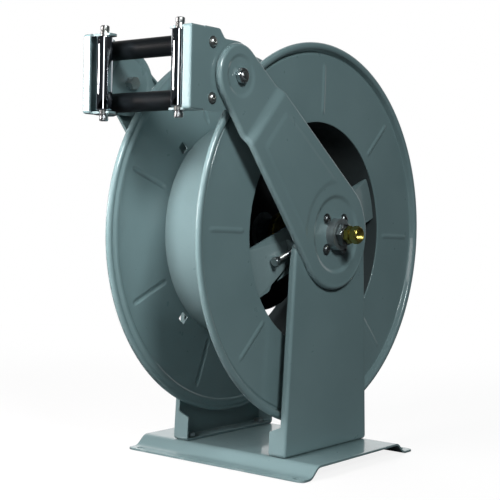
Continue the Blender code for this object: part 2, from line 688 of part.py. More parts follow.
def fold_flange(bm, verts, outward, radius, depths):
    """Bend a flange inwards, along -X, from a chain of a face's edge vertices.

    outward is the (y, z) direction across the fold; the face ends a bend radius short of it.
    """
    rows = [verts]
    for degrees in (45.0, 90.0):
        angle = math.radians(degrees)
        reach = radius * math.sin(angle)
        fall = radius * (1.0 - math.cos(angle))
        rows.append([bm.verts.new((v.co.x - fall, v.co.y + outward[0] * reach, v.co.z + outward[1] * reach))
                     for v in verts])
    rows.append([bm.verts.new((v.co.x - depth, v.co.y + outward[0] * radius, v.co.z + outward[1] * radius))
                 for v, depth in zip(verts, depths)])
    for row, following in zip(rows, rows[1:]):
        for i in range(len(verts) - 1):
            bm.faces.new((row[i], row[i + 1], following[i + 1], following[i]))


def make_base(material, parent):
    """Pressed base plate: flat top, slopes and two feet, with rounded corners and floor holes."""
    top_half = BASE_HALF_WIDTH - BASE_FOOT - BASE_SLOPE
    foot_half = BASE_HALF_WIDTH - BASE_FOOT
    rows = [(-foot_half, BASE_SHEET), (-top_half, BASE_HEIGHT), (top_half, BASE_HEIGHT), (foot_half, BASE_SHEET)]
    length = BASE_HALF_LENGTH
    stations = []
    corner = arc((length - BASE_CORNER, -BASE_HALF_WIDTH + BASE_CORNER), BASE_CORNER, -math.pi / 2, 0.0, 4)
    front = [(x, y, BASE_SHEET) for x, y in corner if y < -foot_half]
    for x, y, z in front:
        stations.append((x, y, z))
    for y, z in rows:
        stations.append((length, y, z))
    for x, y, z in reversed(front):
        stations.append((x, BASE_REAR_EXTRA - y, z))
    bm = bmesh.new()
    left = [bm.verts.new((-x, y, z)) for x, y, z in stations]
    right = [bm.verts.new((x, y, z)) for x, y, z in stations]
    for i in range(len(stations) - 1):
        bm.faces.new((left[i], right[i], right[i + 1], left[i + 1]))
    bm.normal_update()
    bends = [e for e in bm.edges if len(e.link_faces) == 2 and e.calc_face_angle(0.0) > math.radians(10)]
    bmesh.ops.bevel(bm, geom=bends, offset=BASE_BEND, segments=2, affect="EDGES", profile=0.5)
    mesh = bpy.data.meshes.new("base_plate")
    bmesh.ops.recalc_face_normals(bm, faces=bm.faces)
    if max(bm.faces, key=lambda f: f.calc_area()).normal.z < 0.0:
        bmesh.ops.reverse_faces(bm, faces=bm.faces)
    bm.to_mesh(mesh)
    bm.free()
    mesh.materials.append(material)
    mesh.shade_smooth()
    mesh.set_sharp_from_angle(angle=math.radians(35))
    base = bpy.data.objects.new("base_plate", mesh)
    bpy.context.collection.objects.link(base)
    base.parent = parent
    solid = base.modifiers.new("sheet", "SOLIDIFY")
    solid.thickness = BASE_SHEET
    solid.offset = -1.0
    solid.use_even_offset = True
    holes = bmesh.new()
    spots = [(sx * (length - BASE_HOLE_INSET_X), sy * (BASE_HALF_WIDTH - BASE_HOLE_INSET_Y), BASE_HOLE_RADIUS)
             for sx in (-1, 1) for sy in (-1, 1)]
    spots = [(x, y + BASE_REAR_EXTRA * (y > 0.0), radius) for x, y, radius in spots]
    spots += [(sx * BASE_BOLT_X, sy * BASE_BOLT_Y, clear_bore(BASE_BOLT_RADIUS, FIT_GAP, 6))
              for sx in (-1, 1) for sy in (-1, 1)]
    for x, y, radius in spots:
        past = 2 * BASE_HEIGHT
        turned_mesh(holes, [(-past, 0.0), (-past, radius), (past, radius), (past, 0.0)], 6,
                    along((0.0, 0.0, 1.0), (x, y, 0.0)))
    cut(base, holes, "base_holes")
    return base


def make_base_bolts(base, bolt_material, parent):
    """Hex bolts that hold both pedestals on the base plate, in weld nuts under it."""
    seat = BASE_HEIGHT + 2 * FIT_GAP + PEDESTAL_SHEET
    under = BASE_HEIGHT - BASE_SHEET
    low = under - BASE_NUT_WIDTH
    nuts = bmesh.new()
    hexagon = regular_hexagon(BASE_BOLT_FLATS)
    half = BASE_BOLT_FLATS / 2
    square = [(-half, -half), (half, -half), (half, half), (-half, half)]
    bore = clear_bore(BASE_BOLT_RADIUS, FIT_GAP, 6)
    for sx, sy, name in ((1, -1, "near_front"), (1, 1, "near_rear"), (-1, -1, "far_front"), (-1, 1, "far_rear")):
        place = along((0.0, 0.0, 1.0), (sx * BASE_BOLT_X, sy * BASE_BOLT_Y, 0.0))
        bolt = bmesh.new()
        prism_with_shank(bolt, hexagon, seat, seat + BASE_BOLT_HEAD, BASE_BOLT_RADIUS, low, place, 6)
        add_object("base_bolt_" + name, bolt, bolt_material, parent)
        ring_mesh(nuts, square, bore, low, under + BASE_SHEET / 3, place, 6)
    join(base, nuts, "base_weld_nuts")


def prism_with_shank(bm, outline, low, high, radius, tip, matrix, segments):
    """A bolt along X: a prism head from low to high and a round shank from it to the tip."""
    shank = circle((0.0, 0.0), radius, segments)
    near, away = (low, high) if abs(low - tip) < abs(high - tip) else (high, low)
    points = [Vector(p) for p in list(outline) + shank]
    n, m = len(outline), len(shank)
    edges = [(i, (i + 1) % n) for i in range(n)] + [(n + i, n + (i + 1) % m) for i in range(m)]
    flat, _, faces, _, _, _ = geometry.delaunay_2d_cdt(points, edges, [], 1, 1e-7)
    verts = [bm.verts.new((near, p.x, p.y)) for p in flat]
    for face in faces:
        middle = sum((flat[i] for i in face), Vector((0.0, 0.0))) / 3
        if middle.length > radius * math.cos(math.pi / segments) * 0.999:
            bm.faces.new([verts[i] for i in face])
    head = verts[:n]
    seat = verts[n:n + m]
    made = list(verts)
    for loop, x in ((head, away), (seat, tip)):
        end = [bm.verts.new((x, v.co.y, v.co.z)) for v in loop]
        for i in range(len(loop)):
            j = (i + 1) % len(loop)
            bm.faces.new((loop[i], loop[j], end[j], end[i]))
        bm.faces.new(end)
        made += end
    bmesh.ops.transform(bm, matrix=matrix, verts=made)


def ring_mesh(bm, outline, bore, low, high, matrix=None, segments=12):
    """A prism along X with a round bore, such as a nut."""
    hole = circle((0.0, 0.0), bore, segments)
    points = [Vector(p) for p in list(outline) + hole]
    n, m = len(outline), len(hole)
    edges = [(i, (i + 1) % n) for i in range(n)] + [(n + i, n + (i + 1) % m) for i in range(m)]
    flat, _, faces, _, _, _ = geometry.delaunay_2d_cdt(points, edges, [], 1, 1e-7)
    kept = []
    for face in faces:
        middle = sum((flat[i] for i in face), Vector((0.0, 0.0))) / 3
        if middle.length > bore * math.cos(math.pi / segments) * 0.999:
            kept.append(face)
    sides = []
    for x in (low, high):
        verts = [bm.verts.new((x, p.x, p.y)) for p in flat]
        for face in kept:
            bm.faces.new([verts[i] for i in face])
        sides.append(verts)
    for first, count in ((0, n), (n, m)):
        for i in range(count):
            a, b = first + i, first + (i + 1) % count
            bm.faces.new((sides[0][a], sides[0][b], sides[1][b], sides[1][a]))
    if matrix is not None:
        bmesh.ops.transform(bm, matrix=matrix, verts=sides[0] + sides[1])


def ring(name, outline, bore, low, high, material, parent, segments=12, matrix=None):
    bm = bmesh.new()
    ring_mesh(bm, outline, bore, low, high, matrix, segments)
    return add_object(name, bm, material, parent)


def arm_outline(inset, hub_steps=16, end_steps=9):
    """Tangent outline round the hub and the pivot, in the arm's own axes (along, across)."""
    lean = math.asin((ARM_HUB_RADIUS - ARM_END_RADIUS) / ARM_LENGTH)
    side = math.pi / 2 - lean
    hub = arc((0.0, 0.0), ARM_HUB_RADIUS - inset, side, 2 * math.pi - side, hub_steps)
    end = arc((ARM_LENGTH, 0.0), ARM_END_RADIUS - inset, -side, side, end_steps)
    joggle = [JOGGLE_START, JOGGLE_START + JOGGLE_LENGTH]
    lower = [(s, -arm_half(s, inset)) for s in joggle]
    upper = [(s, arm_half(s, inset)) for s in reversed(joggle)]
    return hub + lower + end + upper


def arm_half(s, inset):
    """Half width of the arm at a distance along it."""
    lean = math.asin((ARM_HUB_RADIUS - ARM_END_RADIUS) / ARM_LENGTH)
    return (ARM_HUB_RADIUS - inset) / math.cos(lean) - s * math.tan(lean)


def arm_drop(s):
    """How far the arm's face lies inside its lower face, past the joggle."""
    share = min(max((s - JOGGLE_START) / JOGGLE_LENGTH, 0.0), 1.0)
    return share * (ARM_FACE_X - ARM_UPPER_FACE_X)


def panel_loop(inset):
    """Outline of the raised panel, bounded by the hub ring and the joggle."""
    start = ARM_PANEL_START + inset
    end = ARM_PANEL_END - inset
    margin = ARM_PANEL_MARGIN + inset
    wide = arm_half(start, 0.0) - margin
    narrow = arm_half(end, 0.0) - margin
    lead = math.asin(min(wide / start, 0.95))
    inner = arc((0.0, 0.0), start, lead, -lead, 4)
    corner = ARM_PANEL_CORNER
    return inner + [(end - corner, -narrow), (end, corner - narrow), (end, narrow - corner), (end - corner, narrow)]


def make_arm(side, material, parent):
    """Pressed guide arm: joggled face, folded edge, hub dish, raised panel and pivot dish."""
    hub = (0.0, 0.0)
    pivot = (ARM_LENGTH, 0.0)
    hub_hole = circle(hub, clear_bore(ARM_BOSS_RADIUS, FIT_GAP, 14), 14)
    pivot_hole = circle(pivot, clear_bore(PIVOT_BOLT_RADIUS, FIT_GAP, 10), 10)
    screw_holes = []
    for spot in hub_screw_spots():
        spot = turn_point(spot, -ARM_ANGLE)
        screw_holes.append(circle(spot, clear_bore(HUB_SCREW_RADIUS, FIT_GAP, 6), 6))
    loops = [(circle(hub, ARM_DISH_RADIUS, 20), 0.0), (circle(hub, ARM_DISH_INNER, 20), -ARM_DISH_DEPTH),
             (panel_loop(0.0), 0.0), (panel_loop(ARM_PANEL_EDGE), ARM_PANEL_RISE),
             (circle(pivot, PIVOT_DISH_RADIUS, 14), 0.0),
             (circle(pivot, PIVOT_DISH_INNER, 14), -PIVOT_DISH_DEPTH)]
    holes = [hub_hole, pivot_hole] + screw_holes
    loops += [(hole, -PIVOT_DISH_DEPTH if hole is pivot_hole else -ARM_DISH_DEPTH) for hole in holes]
    bm = bmesh.new()
    height = lambda point: ARM_FACE_X - arm_drop(point[0])
    face = pressed_face(bm, arm_outline(ARM_FOLD), loops, holes, height)
    rings = []
    angle = math.radians(55.0)
    fall = ARM_FOLD * (1.0 - math.cos(angle))
    rings.append([(height(p) - fall, p[0], p[1]) for p in arm_outline(ARM_FOLD * (1.0 - math.sin(angle)))])
    rings.append([(height(p) - ARM_DEPTH, p[0], p[1]) for p in arm_outline(0.0)])
    fold_rings(bm, face, rings)
    bmesh.ops.rotate(bm, cent=(0, 0, 0), matrix=Matrix.Rotation(ARM_ANGLE, 3, "X"), verts=bm.verts)
    return finish_sheet("guide_arm_" + side_name(side), bm, side, material, parent, ARM_SHEET)


def screw_angle(index):
    return math.pi / 4 + index * 2 * math.pi / HUB_SCREW_COUNT


def hub_screw_spots():
    return [turn_point((HUB_SCREW_CIRCLE, 0.0), screw_angle(index)) for index in range(HUB_SCREW_COUNT)]


def make_arm_hub(side, material, parent):
    """Boss that a guide arm turns on, with the four screws that hold the arm on it."""
    bore = clear_bore(AXLE_END_RADIUS, RUN_GAP, 16)
    low = PEDESTAL_X + SWING_GAP
    high = ARM_DISH_X - ARM_SHEET - FIT_GAP
    profile = [(low, bore), (low, ARM_HUB_PLATE_RADIUS), (high, ARM_HUB_PLATE_RADIUS),
               (high, ARM_BOSS_RADIUS), (ARM_TOP_X, ARM_BOSS_RADIUS), (ARM_TOP_X, bore)]
    name = side_name(side)
    hub = turned("arm_hub_" + name, [(side * x, r) for x, r in profile], material, parent, 16)
    screws = bmesh.new()
    start = (low + high) / 2
    head = ARM_DISH_X + FIT_GAP
    top = head + HUB_SCREW_HEAD_HEIGHT
    profile = [(start, 0.0), (start, HUB_SCREW_RADIUS), (head, HUB_SCREW_RADIUS),
               (head, HUB_SCREW_HEAD), (top, HUB_SCREW_HEAD), (top, 0.0)]
    for y, z in hub_screw_spots():
        turned_mesh(screws, [(side * x, r) for x, r in profile], 6, Matrix.Translation((0.0, y, z)))
    join(hub, screws, "hub_screws_" + name)


def make_inlet(steel, brass, parent):
    """Lock nuts on the axle's ends and the brass inlet fitting in its near end."""
    bore = clear_bore(AXLE_END_RADIUS, FIT_GAP, 12)
    hexagon = regular_hexagon(LOCK_NUT_FLATS)
    for side in (1, -1):
        ring("lock_nut_" + side_name(side), hexagon, bore, side * LOCK_NUT_X, side * LOCK_NUT_END_X,
             steel, parent, 12)
    bm = bmesh.new()
    start = LOCK_NUT_END_X + FIT_GAP
    shank = AXLE_BORE_RADIUS - FIT_GAP
    first = start + INLET_FIRST_HEX
    groove = first + INLET_GROOVE
    end = groove + INLET_SECOND_HEX
    inner = start - INLET_SHANK
    neck = INLET_FLATS * 0.44
    face = INLET_FLATS / 2 - INLET_CHAMFER / 2
    sections = [(inner, shank, 0), (start, shank, 0), (start, 0.0, 1), (first, 0.0, 1), (first, neck, 0),
                (groove, neck, 0), (groove, 0.0, 1), (end - INLET_CHAMFER, 0.0, 1), (end, face, 0),
                (end, INLET_SOCKET_RADIUS, 0), (end - INLET_SOCKET_DEPTH, INLET_SOCKET_RADIUS, 0),
                (end - INLET_SOCKET_DEPTH, INLET_BORE_RADIUS, 0), (inner, INLET_BORE_RADIUS, 0)]
    steps = 18
    loops = []
    for x, radius, hexagonal in sections:
        loop = []
        for i in range(steps):
            angle = 2 * math.pi * (i + 0.5) / steps
            reach = radius
            if hexagonal:
                reach = INLET_FLATS / 2 / math.cos((angle + math.pi / 6) % (math.pi / 3) - math.pi / 6)
            loop.append(bm.verts.new((x, reach * math.cos(angle), reach * math.sin(angle))))
        loops.append(loop)
    for first_loop, next_loop in zip(loops, loops[1:] + loops[:1]):
        for i in range(steps):
            j = (i + 1) % steps
            bm.faces.new((first_loop[i], first_loop[j], next_loop[j], next_loop[i]))
    add_object("inlet_fitting", bm, brass, parent)


def make_head_plate(side, material, parent):
    """Folded side plate of the mouth: pivot tongue, front flange and lugs for the side roller."""
    front = -HEAD_FRONT
    back = -HEAD_BACK_OF_BODY
    top = HEAD_MIDDLE + HEAD_HALF_HEIGHT
    low = HEAD_MIDDLE - HEAD_HALF_HEIGHT
    relief = HEAD_CORNER_RELIEF
    bend = HEAD_BEND
    radius = HEAD_TONGUE_RADIUS
    lug_end = front + HEAD_LUG_LENGTH
    outline = [(front + bend, low + relief), (front + relief, low + bend), (lug_end, low + bend),
               (lug_end, low), (back, low), (back + HEAD_NECK, -radius)]
    outline += arc((0.0, 0.0), radius, -math.pi / 2, math.pi / 2, 10)
    outline += [(back + HEAD_NECK, radius), (back, top), (lug_end, top), (lug_end, top - bend),
                (front + relief, top - bend), (front + bend, top - relief)]
    pivot = (0.0, 0.0)
    pivot_hole = circle(pivot, clear_bore(PIVOT_BOLT_RADIUS, FIT_GAP, 10), 10)
    axle_holes = [circle((-CROSS_ROLLER_AHEAD, z), clear_bore(CROSS_SCREW_RADIUS, FIT_GAP, 8), 8)
                  for z in cross_roller_heights()]
    pad = radius - HEAD_PAD_MARGIN
    loops = [(circle(pivot, pad, 14), 0.0), (circle(pivot, pad - HEAD_PAD_EDGE, 14), HEAD_PAD_RISE),
             (pivot_hole, HEAD_PAD_RISE)] + [(hole, 0.0) for hole in axle_holes]
    bm = bmesh.new()
    ring_verts = pressed_face(bm, outline, loops, [pivot_hole] + axle_holes, lambda point: HEAD_X)
    fold_flange(bm, [ring_verts[-1], ring_verts[0]], (-1.0, 0.0), bend, [HEAD_FLANGE] * 2)
    fold_flange(bm, ring_verts[1:3], (0.0, -1.0), bend, [HEAD_LUG_REACH] * 2)
    fold_flange(bm, ring_verts[-3:-1], (0.0, 1.0), bend, [HEAD_LUG_REACH] * 2)
    plate = finish_sheet("head_plate_" + side_name(side), bm, side, material, parent, HEAD_SHEET)
    cutter = bmesh.new()
    hole = clear_bore(SIDE_PIN_RADIUS, FIT_GAP, 10)
    for z in (low, top):
        past = 2 * HEAD_SHEET
        turned_mesh(cutter, [(-past, 0.0), (-past, hole), (past, hole), (past, 0.0)], 10,
                    along((0.0, 0.0, 1.0), (DRUM_SHIFT + side * SIDE_ROLLER_X, SIDE_ROLLER_Y, z)))
    cut(plate, cutter, "side_pin_holes_" + side_name(side))


def cross_roller_heights():
    return [HEAD_MIDDLE - 0.001 + sign * CROSS_ROLLER_SPACING / 2 for sign in (1, -1)]


def make_pivot_hardware(side, steel, parent):
    """Bolt, spacer and nut of one mouth pivot; the bolt head lies inside the mouth."""
    place = Matrix.Translation((0.0, PIVOT_Y, PIVOT_Z))
    name = side_name(side)
    dish_x = ARM_UPPER_FACE_X - PIVOT_DISH_DEPTH
    spacer_low = HEAD_X + HEAD_PAD_RISE + FIT_GAP
    spacer_high = dish_x - ARM_SHEET - FIT_GAP
    nut_low = dish_x + FIT_GAP
    nut_high = nut_low + PIVOT_NUT_WIDTH
    head_high = HEAD_INNER_X + HEAD_PAD_RISE - FIT_GAP
    hexagon = regular_hexagon(PIVOT_NUT_FLATS)
    hole = clear_bore(PIVOT_BOLT_RADIUS, FIT_GAP, 10)
    bolt = bmesh.new()
    head = regular_hexagon(PIVOT_HEAD_FLATS)
    prism_with_shank(bolt, head, side * (head_high - PIVOT_HEAD_HEIGHT), side * head_high,
                     PIVOT_BOLT_RADIUS, side * (nut_high + PIVOT_THREAD_END), place, 10)
    add_object("pivot_bolt_" + name, bolt, steel, parent)
    ring("pivot_nut_" + name, hexagon, hole, side * nut_low, side * nut_high, steel, parent, 10, place)
    ring("pivot_spacer_" + name, circle((0.0, 0.0), PIVOT_SPACER_RADIUS, 14), hole,
         side * spacer_low, side * spacer_high, steel, parent, 10, place)


def make_side_roller(side, roller_material, pin_material, parent, spin_parent):
    """Upright roller on its pin, which ends outside the lugs of a head plate."""
    low = HEAD_MIDDLE - HEAD_HALF_HEIGHT
    top = HEAD_MIDDLE + HEAD_HALF_HEIGHT
    place = along((0.0, 0.0, 1.0), (DRUM_SHIFT + side * SIDE_ROLLER_X, SIDE_ROLLER_Y, 0.0))
    name = side_name(side)
    tip = SIDE_PIN_RADIUS - SIDE_EDGE
    pin_low = low - SIDE_PIN_END
    pin_top = top + SIDE_PIN_END
    profile = [(pin_low, 0.0), (pin_low, tip), (pin_low + SIDE_EDGE, SIDE_PIN_RADIUS),
               (pin_top - SIDE_EDGE, SIDE_PIN_RADIUS), (pin_top, tip), (pin_top, 0.0)]
    turned("side_roller_pin_" + name, profile, pin_material, parent, 10, place)
    bore = clear_bore(SIDE_PIN_RADIUS, RUN_GAP, 16)
    start = low + HEAD_SHEET + END_PLAY
    end = top - HEAD_SHEET - END_PLAY
    edge = SIDE_ROLLER_RADIUS - SIDE_EDGE
    profile = [(start, bore), (start, edge), (start + SIDE_EDGE, SIDE_ROLLER_RADIUS),
               (end - SIDE_EDGE, SIDE_ROLLER_RADIUS), (end, edge), (end, bore)]
    turned("side_roller_" + name, profile, roller_material, spin_parent, ROUND_SEGMENTS, along((0.0, 0.0, 1.0)))


def make_cross_roller(name, height, roller_material, axle_material, parent, spin_parent):
    """Level roller on an axle between the head plates, held by a screw head at each end."""
    place = Matrix.Translation((0.0, -CROSS_ROLLER_AHEAD, height))
    half = HEAD_INNER_X - FIT_GAP
    head = HEAD_X + FIT_GAP
    top = head + CROSS_SCREW_HEAD_HEIGHT
    end = [(half, CROSS_AXLE_RADIUS), (half, CROSS_SCREW_RADIUS), (head, CROSS_SCREW_RADIUS),
           (head, CROSS_SCREW_HEAD), (top, CROSS_SCREW_HEAD), (top, 0.0)]
    profile = [(-x, r) for x, r in reversed(end)] + end
    turned("cross_axle_" + name, profile, axle_material, parent, 10, place)
    bore = clear_bore(CROSS_AXLE_RADIUS, RUN_GAP, 16)
    reach = half - END_PLAY
    edge = CROSS_ROLLER_RADIUS - CROSS_EDGE
    profile = [(-reach, bore), (-reach, edge), (-reach + CROSS_EDGE, CROSS_ROLLER_RADIUS),
               (reach - CROSS_EDGE, CROSS_ROLLER_RADIUS), (reach, edge), (reach, bore)]
    turned("cross_roller_" + name, profile, roller_material, spin_parent)


def ratchet_outline():
    """Saw teeth: a radial face and a sloping back for each tooth, in the bar's own axes."""
    points = []
    pitch = 2 * math.pi / RATCHET_TEETH
    for index in range(RATCHET_TEETH):
        face = RATCHET_FACE_ANGLE + index * pitch
        for share, rise in ((0.0, 0.0), (0.5, RATCHET_HOLLOW), (1.0, 1.0)):
            radius = RATCHET_ROOT + (RATCHET_RADIUS - RATCHET_ROOT) * rise
            angle = face - pitch * RATCHET_BACK * share
            points.append((radius * math.cos(angle), radius * math.sin(angle)))
    return points


def make_ratchet(material, parent):
    """Fixed ratchet wheel on the axle's shoulder."""
    points = [turn_point(p, SPIDER_ANGLE) for p in ratchet_outline()]
    points.sort(key=lambda p: math.atan2(p[1], p[0]))
    high = AXLE_SHOULDER_X
    ring("ratchet_wheel", points, clear_bore(AXLE_RADIUS, FIT_GAP, 16), high - RATCHET_WIDTH, high,
         material, parent, 16)


def convex_outline(points):
    """Convex hull of points, counter-clockwise."""
    points = sorted(set(points))
    halves = []
    for chain in (points, points[::-1]):
        hull = []
        for p in chain:
            while len(hull) > 1 and ((hull[-1][0] - hull[-2][0]) * (p[1] - hull[-2][1])
                                     - (hull[-1][1] - hull[-2][1]) * (p[0] - hull[-2][0])) <= 0:
                hull.pop()
            hull.append(p)
        halves.append(hull[:-1])
    return halves[0] + halves[1]


def make_pawl(steel, parent, pawl_parent):
    """Pawl in the ratchet's teeth, on a pin through the near spider, with its torsion spring."""
    low = AXLE_SHOULDER_X - DRUM_SHIFT - RATCHET_WIDTH
    high = low + PAWL_WIDTH
    pivot = (PAWL_PIVOT_RADIUS, 0.0)
    tip = RATCHET_FACE_ANGLE - 0.0006 / RATCHET_ROOT
    nose = [(RATCHET_ROOT + 0.0012, tip), (RATCHET_RADIUS + 0.004, tip + 0.01),
            (RATCHET_ROOT + 0.0022, tip - 0.05)]
    points = [(r * math.cos(a), r * math.sin(a)) for r, a in nose]
    points += circle(pivot, PAWL_EYE_RADIUS, 16)
    outline = convex_outline(points)
    outline = [turn_point((y - pivot[0], z), SPIDER_ANGLE) for y, z in outline]
    ring("pawl", outline, clear_bore(PAWL_PIN_RADIUS, RUN_GAP, 12), low, high, steel, pawl_parent, 12)
    y, z = turn_point(pivot, SPIDER_ANGLE)
    place = Matrix.Translation((0.0, y, z))
    inner = SPIDER_INNER_X - FIT_GAP
    collar = high + SWING_GAP
    end = collar + PAWL_COLLAR_HEIGHT
    head = inner - PAWL_PIN_HEAD_HEIGHT
    profile = [(head, 0.0), (head, PAWL_PIN_HEAD), (inner, PAWL_PIN_HEAD), (inner, PAWL_PIN_RADIUS),
               (collar, PAWL_PIN_RADIUS), (collar, PAWL_COLLAR), (end, PAWL_COLLAR), (end, 0.0)]
    turned("pawl_pin", profile, steel, parent, 10, place)
    make_pawl_spring(steel, parent, place, low)


def make_pawl_spring(material, parent, place, high):
    """Torsion spring round the pawl pin, between the spider and the pawl."""
    low = SPIDER_X + FIT_GAP + PAWL_SPRING_WIRE
    top = high - FIT_GAP - PAWL_SPRING_WIRE
    steps = 8 * PAWL_SPRING_TURNS
    curve = bpy.data.curves.new("pawl_spring", "CURVE")
    curve.dimensions = "3D"
    curve.bevel_depth = PAWL_SPRING_WIRE
    curve.bevel_resolution = 0
    curve.use_fill_caps = True
    spline = curve.splines.new("POLY")
    leg = PAWL_SPRING_LEG
    route = [(low, PAWL_SPRING_RADIUS, -leg)]
    for i in range(steps + 1):
        angle = 2 * math.pi * i / 8
        route.append((low + (top - low) * i / steps, PAWL_SPRING_RADIUS * math.cos(angle),
                      PAWL_SPRING_RADIUS * math.sin(angle)))
    route.append((top, PAWL_SPRING_RADIUS, leg))
    spline.points.add(len(route) - 1)
    for point, (x, y, z) in zip(spline.points, route):
        point.co = (x, y, z, 1.0)
    obj = bpy.data.objects.new("pawl_spring", curve)
    curve.materials.append(material)
    bpy.context.collection.objects.link(obj)
    obj.parent = parent
    obj.matrix_local = place


def make_spring_case(case_material, steel, drum, frame):
    """Case and cover on the far spider, the flat spiral spring and the arbor on the axle."""
    outer = SPRING_CASE_RADIUS
    inner = outer - SPRING_CASE_WALL
    start = SPIDER_INNER_X - FIT_GAP
    end = start - SPRING_CASE_WIDTH
    mouth = HUB_FLANGE_RADIUS + 0.002
    profile = [(start, mouth), (start, outer), (end, outer), (end, inner),
               (start - SPRING_CASE_WALL, inner), (start - SPRING_CASE_WALL, mouth)]
    turned("spring_case", [(-x, r) for x, r in profile], case_material, drum, CASE_SEGMENTS)
    bore = clear_bore(SPRING_ARBOR_RADIUS, SWING_GAP, CASE_SEGMENTS)
    cover = end - FIT_GAP
    profile = [(cover, bore), (cover, outer), (cover - SPRING_CASE_WALL, outer),
               (cover - SPRING_CASE_WALL, bore)]
    turned("spring_cover", [(-x, r) for x, r in profile], case_material, drum, CASE_SEGMENTS)
    middle = (start - SPRING_CASE_WALL + end) / 2
    half = SPRING_STRIP_WIDTH / 2
    bore = clear_bore(AXLE_RADIUS, FIT_GAP, 16)
    arbor_low = cover - SPRING_CASE_WALL
    profile = [(middle + half, bore), (middle + half, SPRING_ARBOR_RADIUS), (arbor_low, SPRING_ARBOR_RADIUS),
               (arbor_low, bore)]
    turned("spring_arbor", [(-x, r) for x, r in profile], steel, frame)
    wall = inner * math.cos(math.pi / CASE_SEGMENTS) - SWING_GAP
    spiral = bmesh.new()
    steps = SPRING_TURNS * SPRING_STEPS
    first = SPRING_ARBOR_RADIUS + FIT_GAP
    last = wall - SPRING_STRIP
    pitch = (last - first) / SPRING_TURNS
    print("spring: least gap between turns %.2f mm" % ((pitch - SPRING_STRIP) * 1000))
    previous = None
    for i in range(steps + 1):
        angle = 2 * math.pi * i / SPRING_STEPS
        radius = first + (last - first) * i / steps
        loop = [spiral.verts.new((-x, r * math.cos(angle), r * math.sin(angle)))
                for x, r in ((middle - half, radius), (middle + half, radius),
                             (middle + half, radius + SPRING_STRIP), (middle - half, radius + SPRING_STRIP))]
        if previous is None:
            spiral.faces.new(loop)
        else:
            for j in range(4):
                k = (j + 1) % 4
                spiral.faces.new((previous[j], previous[k], loop[k], loop[j]))
        previous = loop
    spiral.faces.new(previous)
    add_object("power_spring", spiral, steel, frame)


def make_swivel(brass, rubber, steel, drum):
    """Rotary union round the axle's port, its seals, the outlet pipe and the pipe's lock nut."""
    half = SWIVEL_LENGTH / 2
    bore = clear_bore(AXLE_RADIUS, RUN_GAP, ROUND_SEGMENTS)
    chamber = SWIVEL_CHAMBER_LENGTH / 2
    seat = chamber + SEAL_WIDTH + 2 * FIT_GAP
    profile = [(-half, bore), (-half, SWIVEL_RADIUS), (half, SWIVEL_RADIUS), (half, bore),
               (seat, bore), (seat, SWIVEL_CHAMBER_RADIUS), (-seat, SWIVEL_CHAMBER_RADIUS), (-seat, bore)]
    place = Matrix.Translation((SWIVEL_X, 0.0, 0.0))
    turned("swivel_body", profile, brass, drum, ROUND_SEGMENTS, place)
    edge = SWIVEL_CHAMBER_RADIUS * math.cos(math.pi / ROUND_SEGMENTS) - FIT_GAP
    bore = clear_bore(AXLE_RADIUS, RUN_GAP, 12)
    for side in (1, -1):
        profile = [(side * x, r) for x, r in ((chamber + FIT_GAP, bore), (chamber + FIT_GAP, edge),
                                              (seat - FIT_GAP, edge), (seat - FIT_GAP, bore))]
        turned("swivel_seal_" + side_name(side), profile, rubber, drum, 12, place)
    direction = Vector((0.0, math.cos(OUTLET_ANGLE), math.sin(OUTLET_ANGLE)))
    foot = SWIVEL_RADIUS + FIT_GAP
    tip = BARREL_RADIUS + OUTLET_END
    wall = (BARREL_RADIUS - BARREL_WALL) * math.cos(math.pi / DRUM_SEGMENTS)
    nut_high = math.sqrt(wall ** 2 - OUTLET_NUT_FLATS ** 2 / 3.0) - FIT_GAP
    nut_low = nut_high - OUTLET_NUT_WIDTH
    r = OUTLET_PIPE_RADIUS
    rim = r + OUTLET_FOOT_RIM
    rim_end = foot + OUTLET_FOOT_LENGTH
    profile = [(foot, OUTLET_PIPE_BORE), (foot, rim), (rim_end, rim), (rim_end, r), (tip, r), (tip, OUTLET_PIPE_BORE)]
    turned("outlet_pipe", profile, steel, drum, 12, place @ along(direction))
    ring("outlet_lock_nut", regular_hexagon(OUTLET_NUT_FLATS), clear_bore(r, FIT_GAP, 12), nut_low, nut_high,
         steel, drum, 12, place @ along(direction))


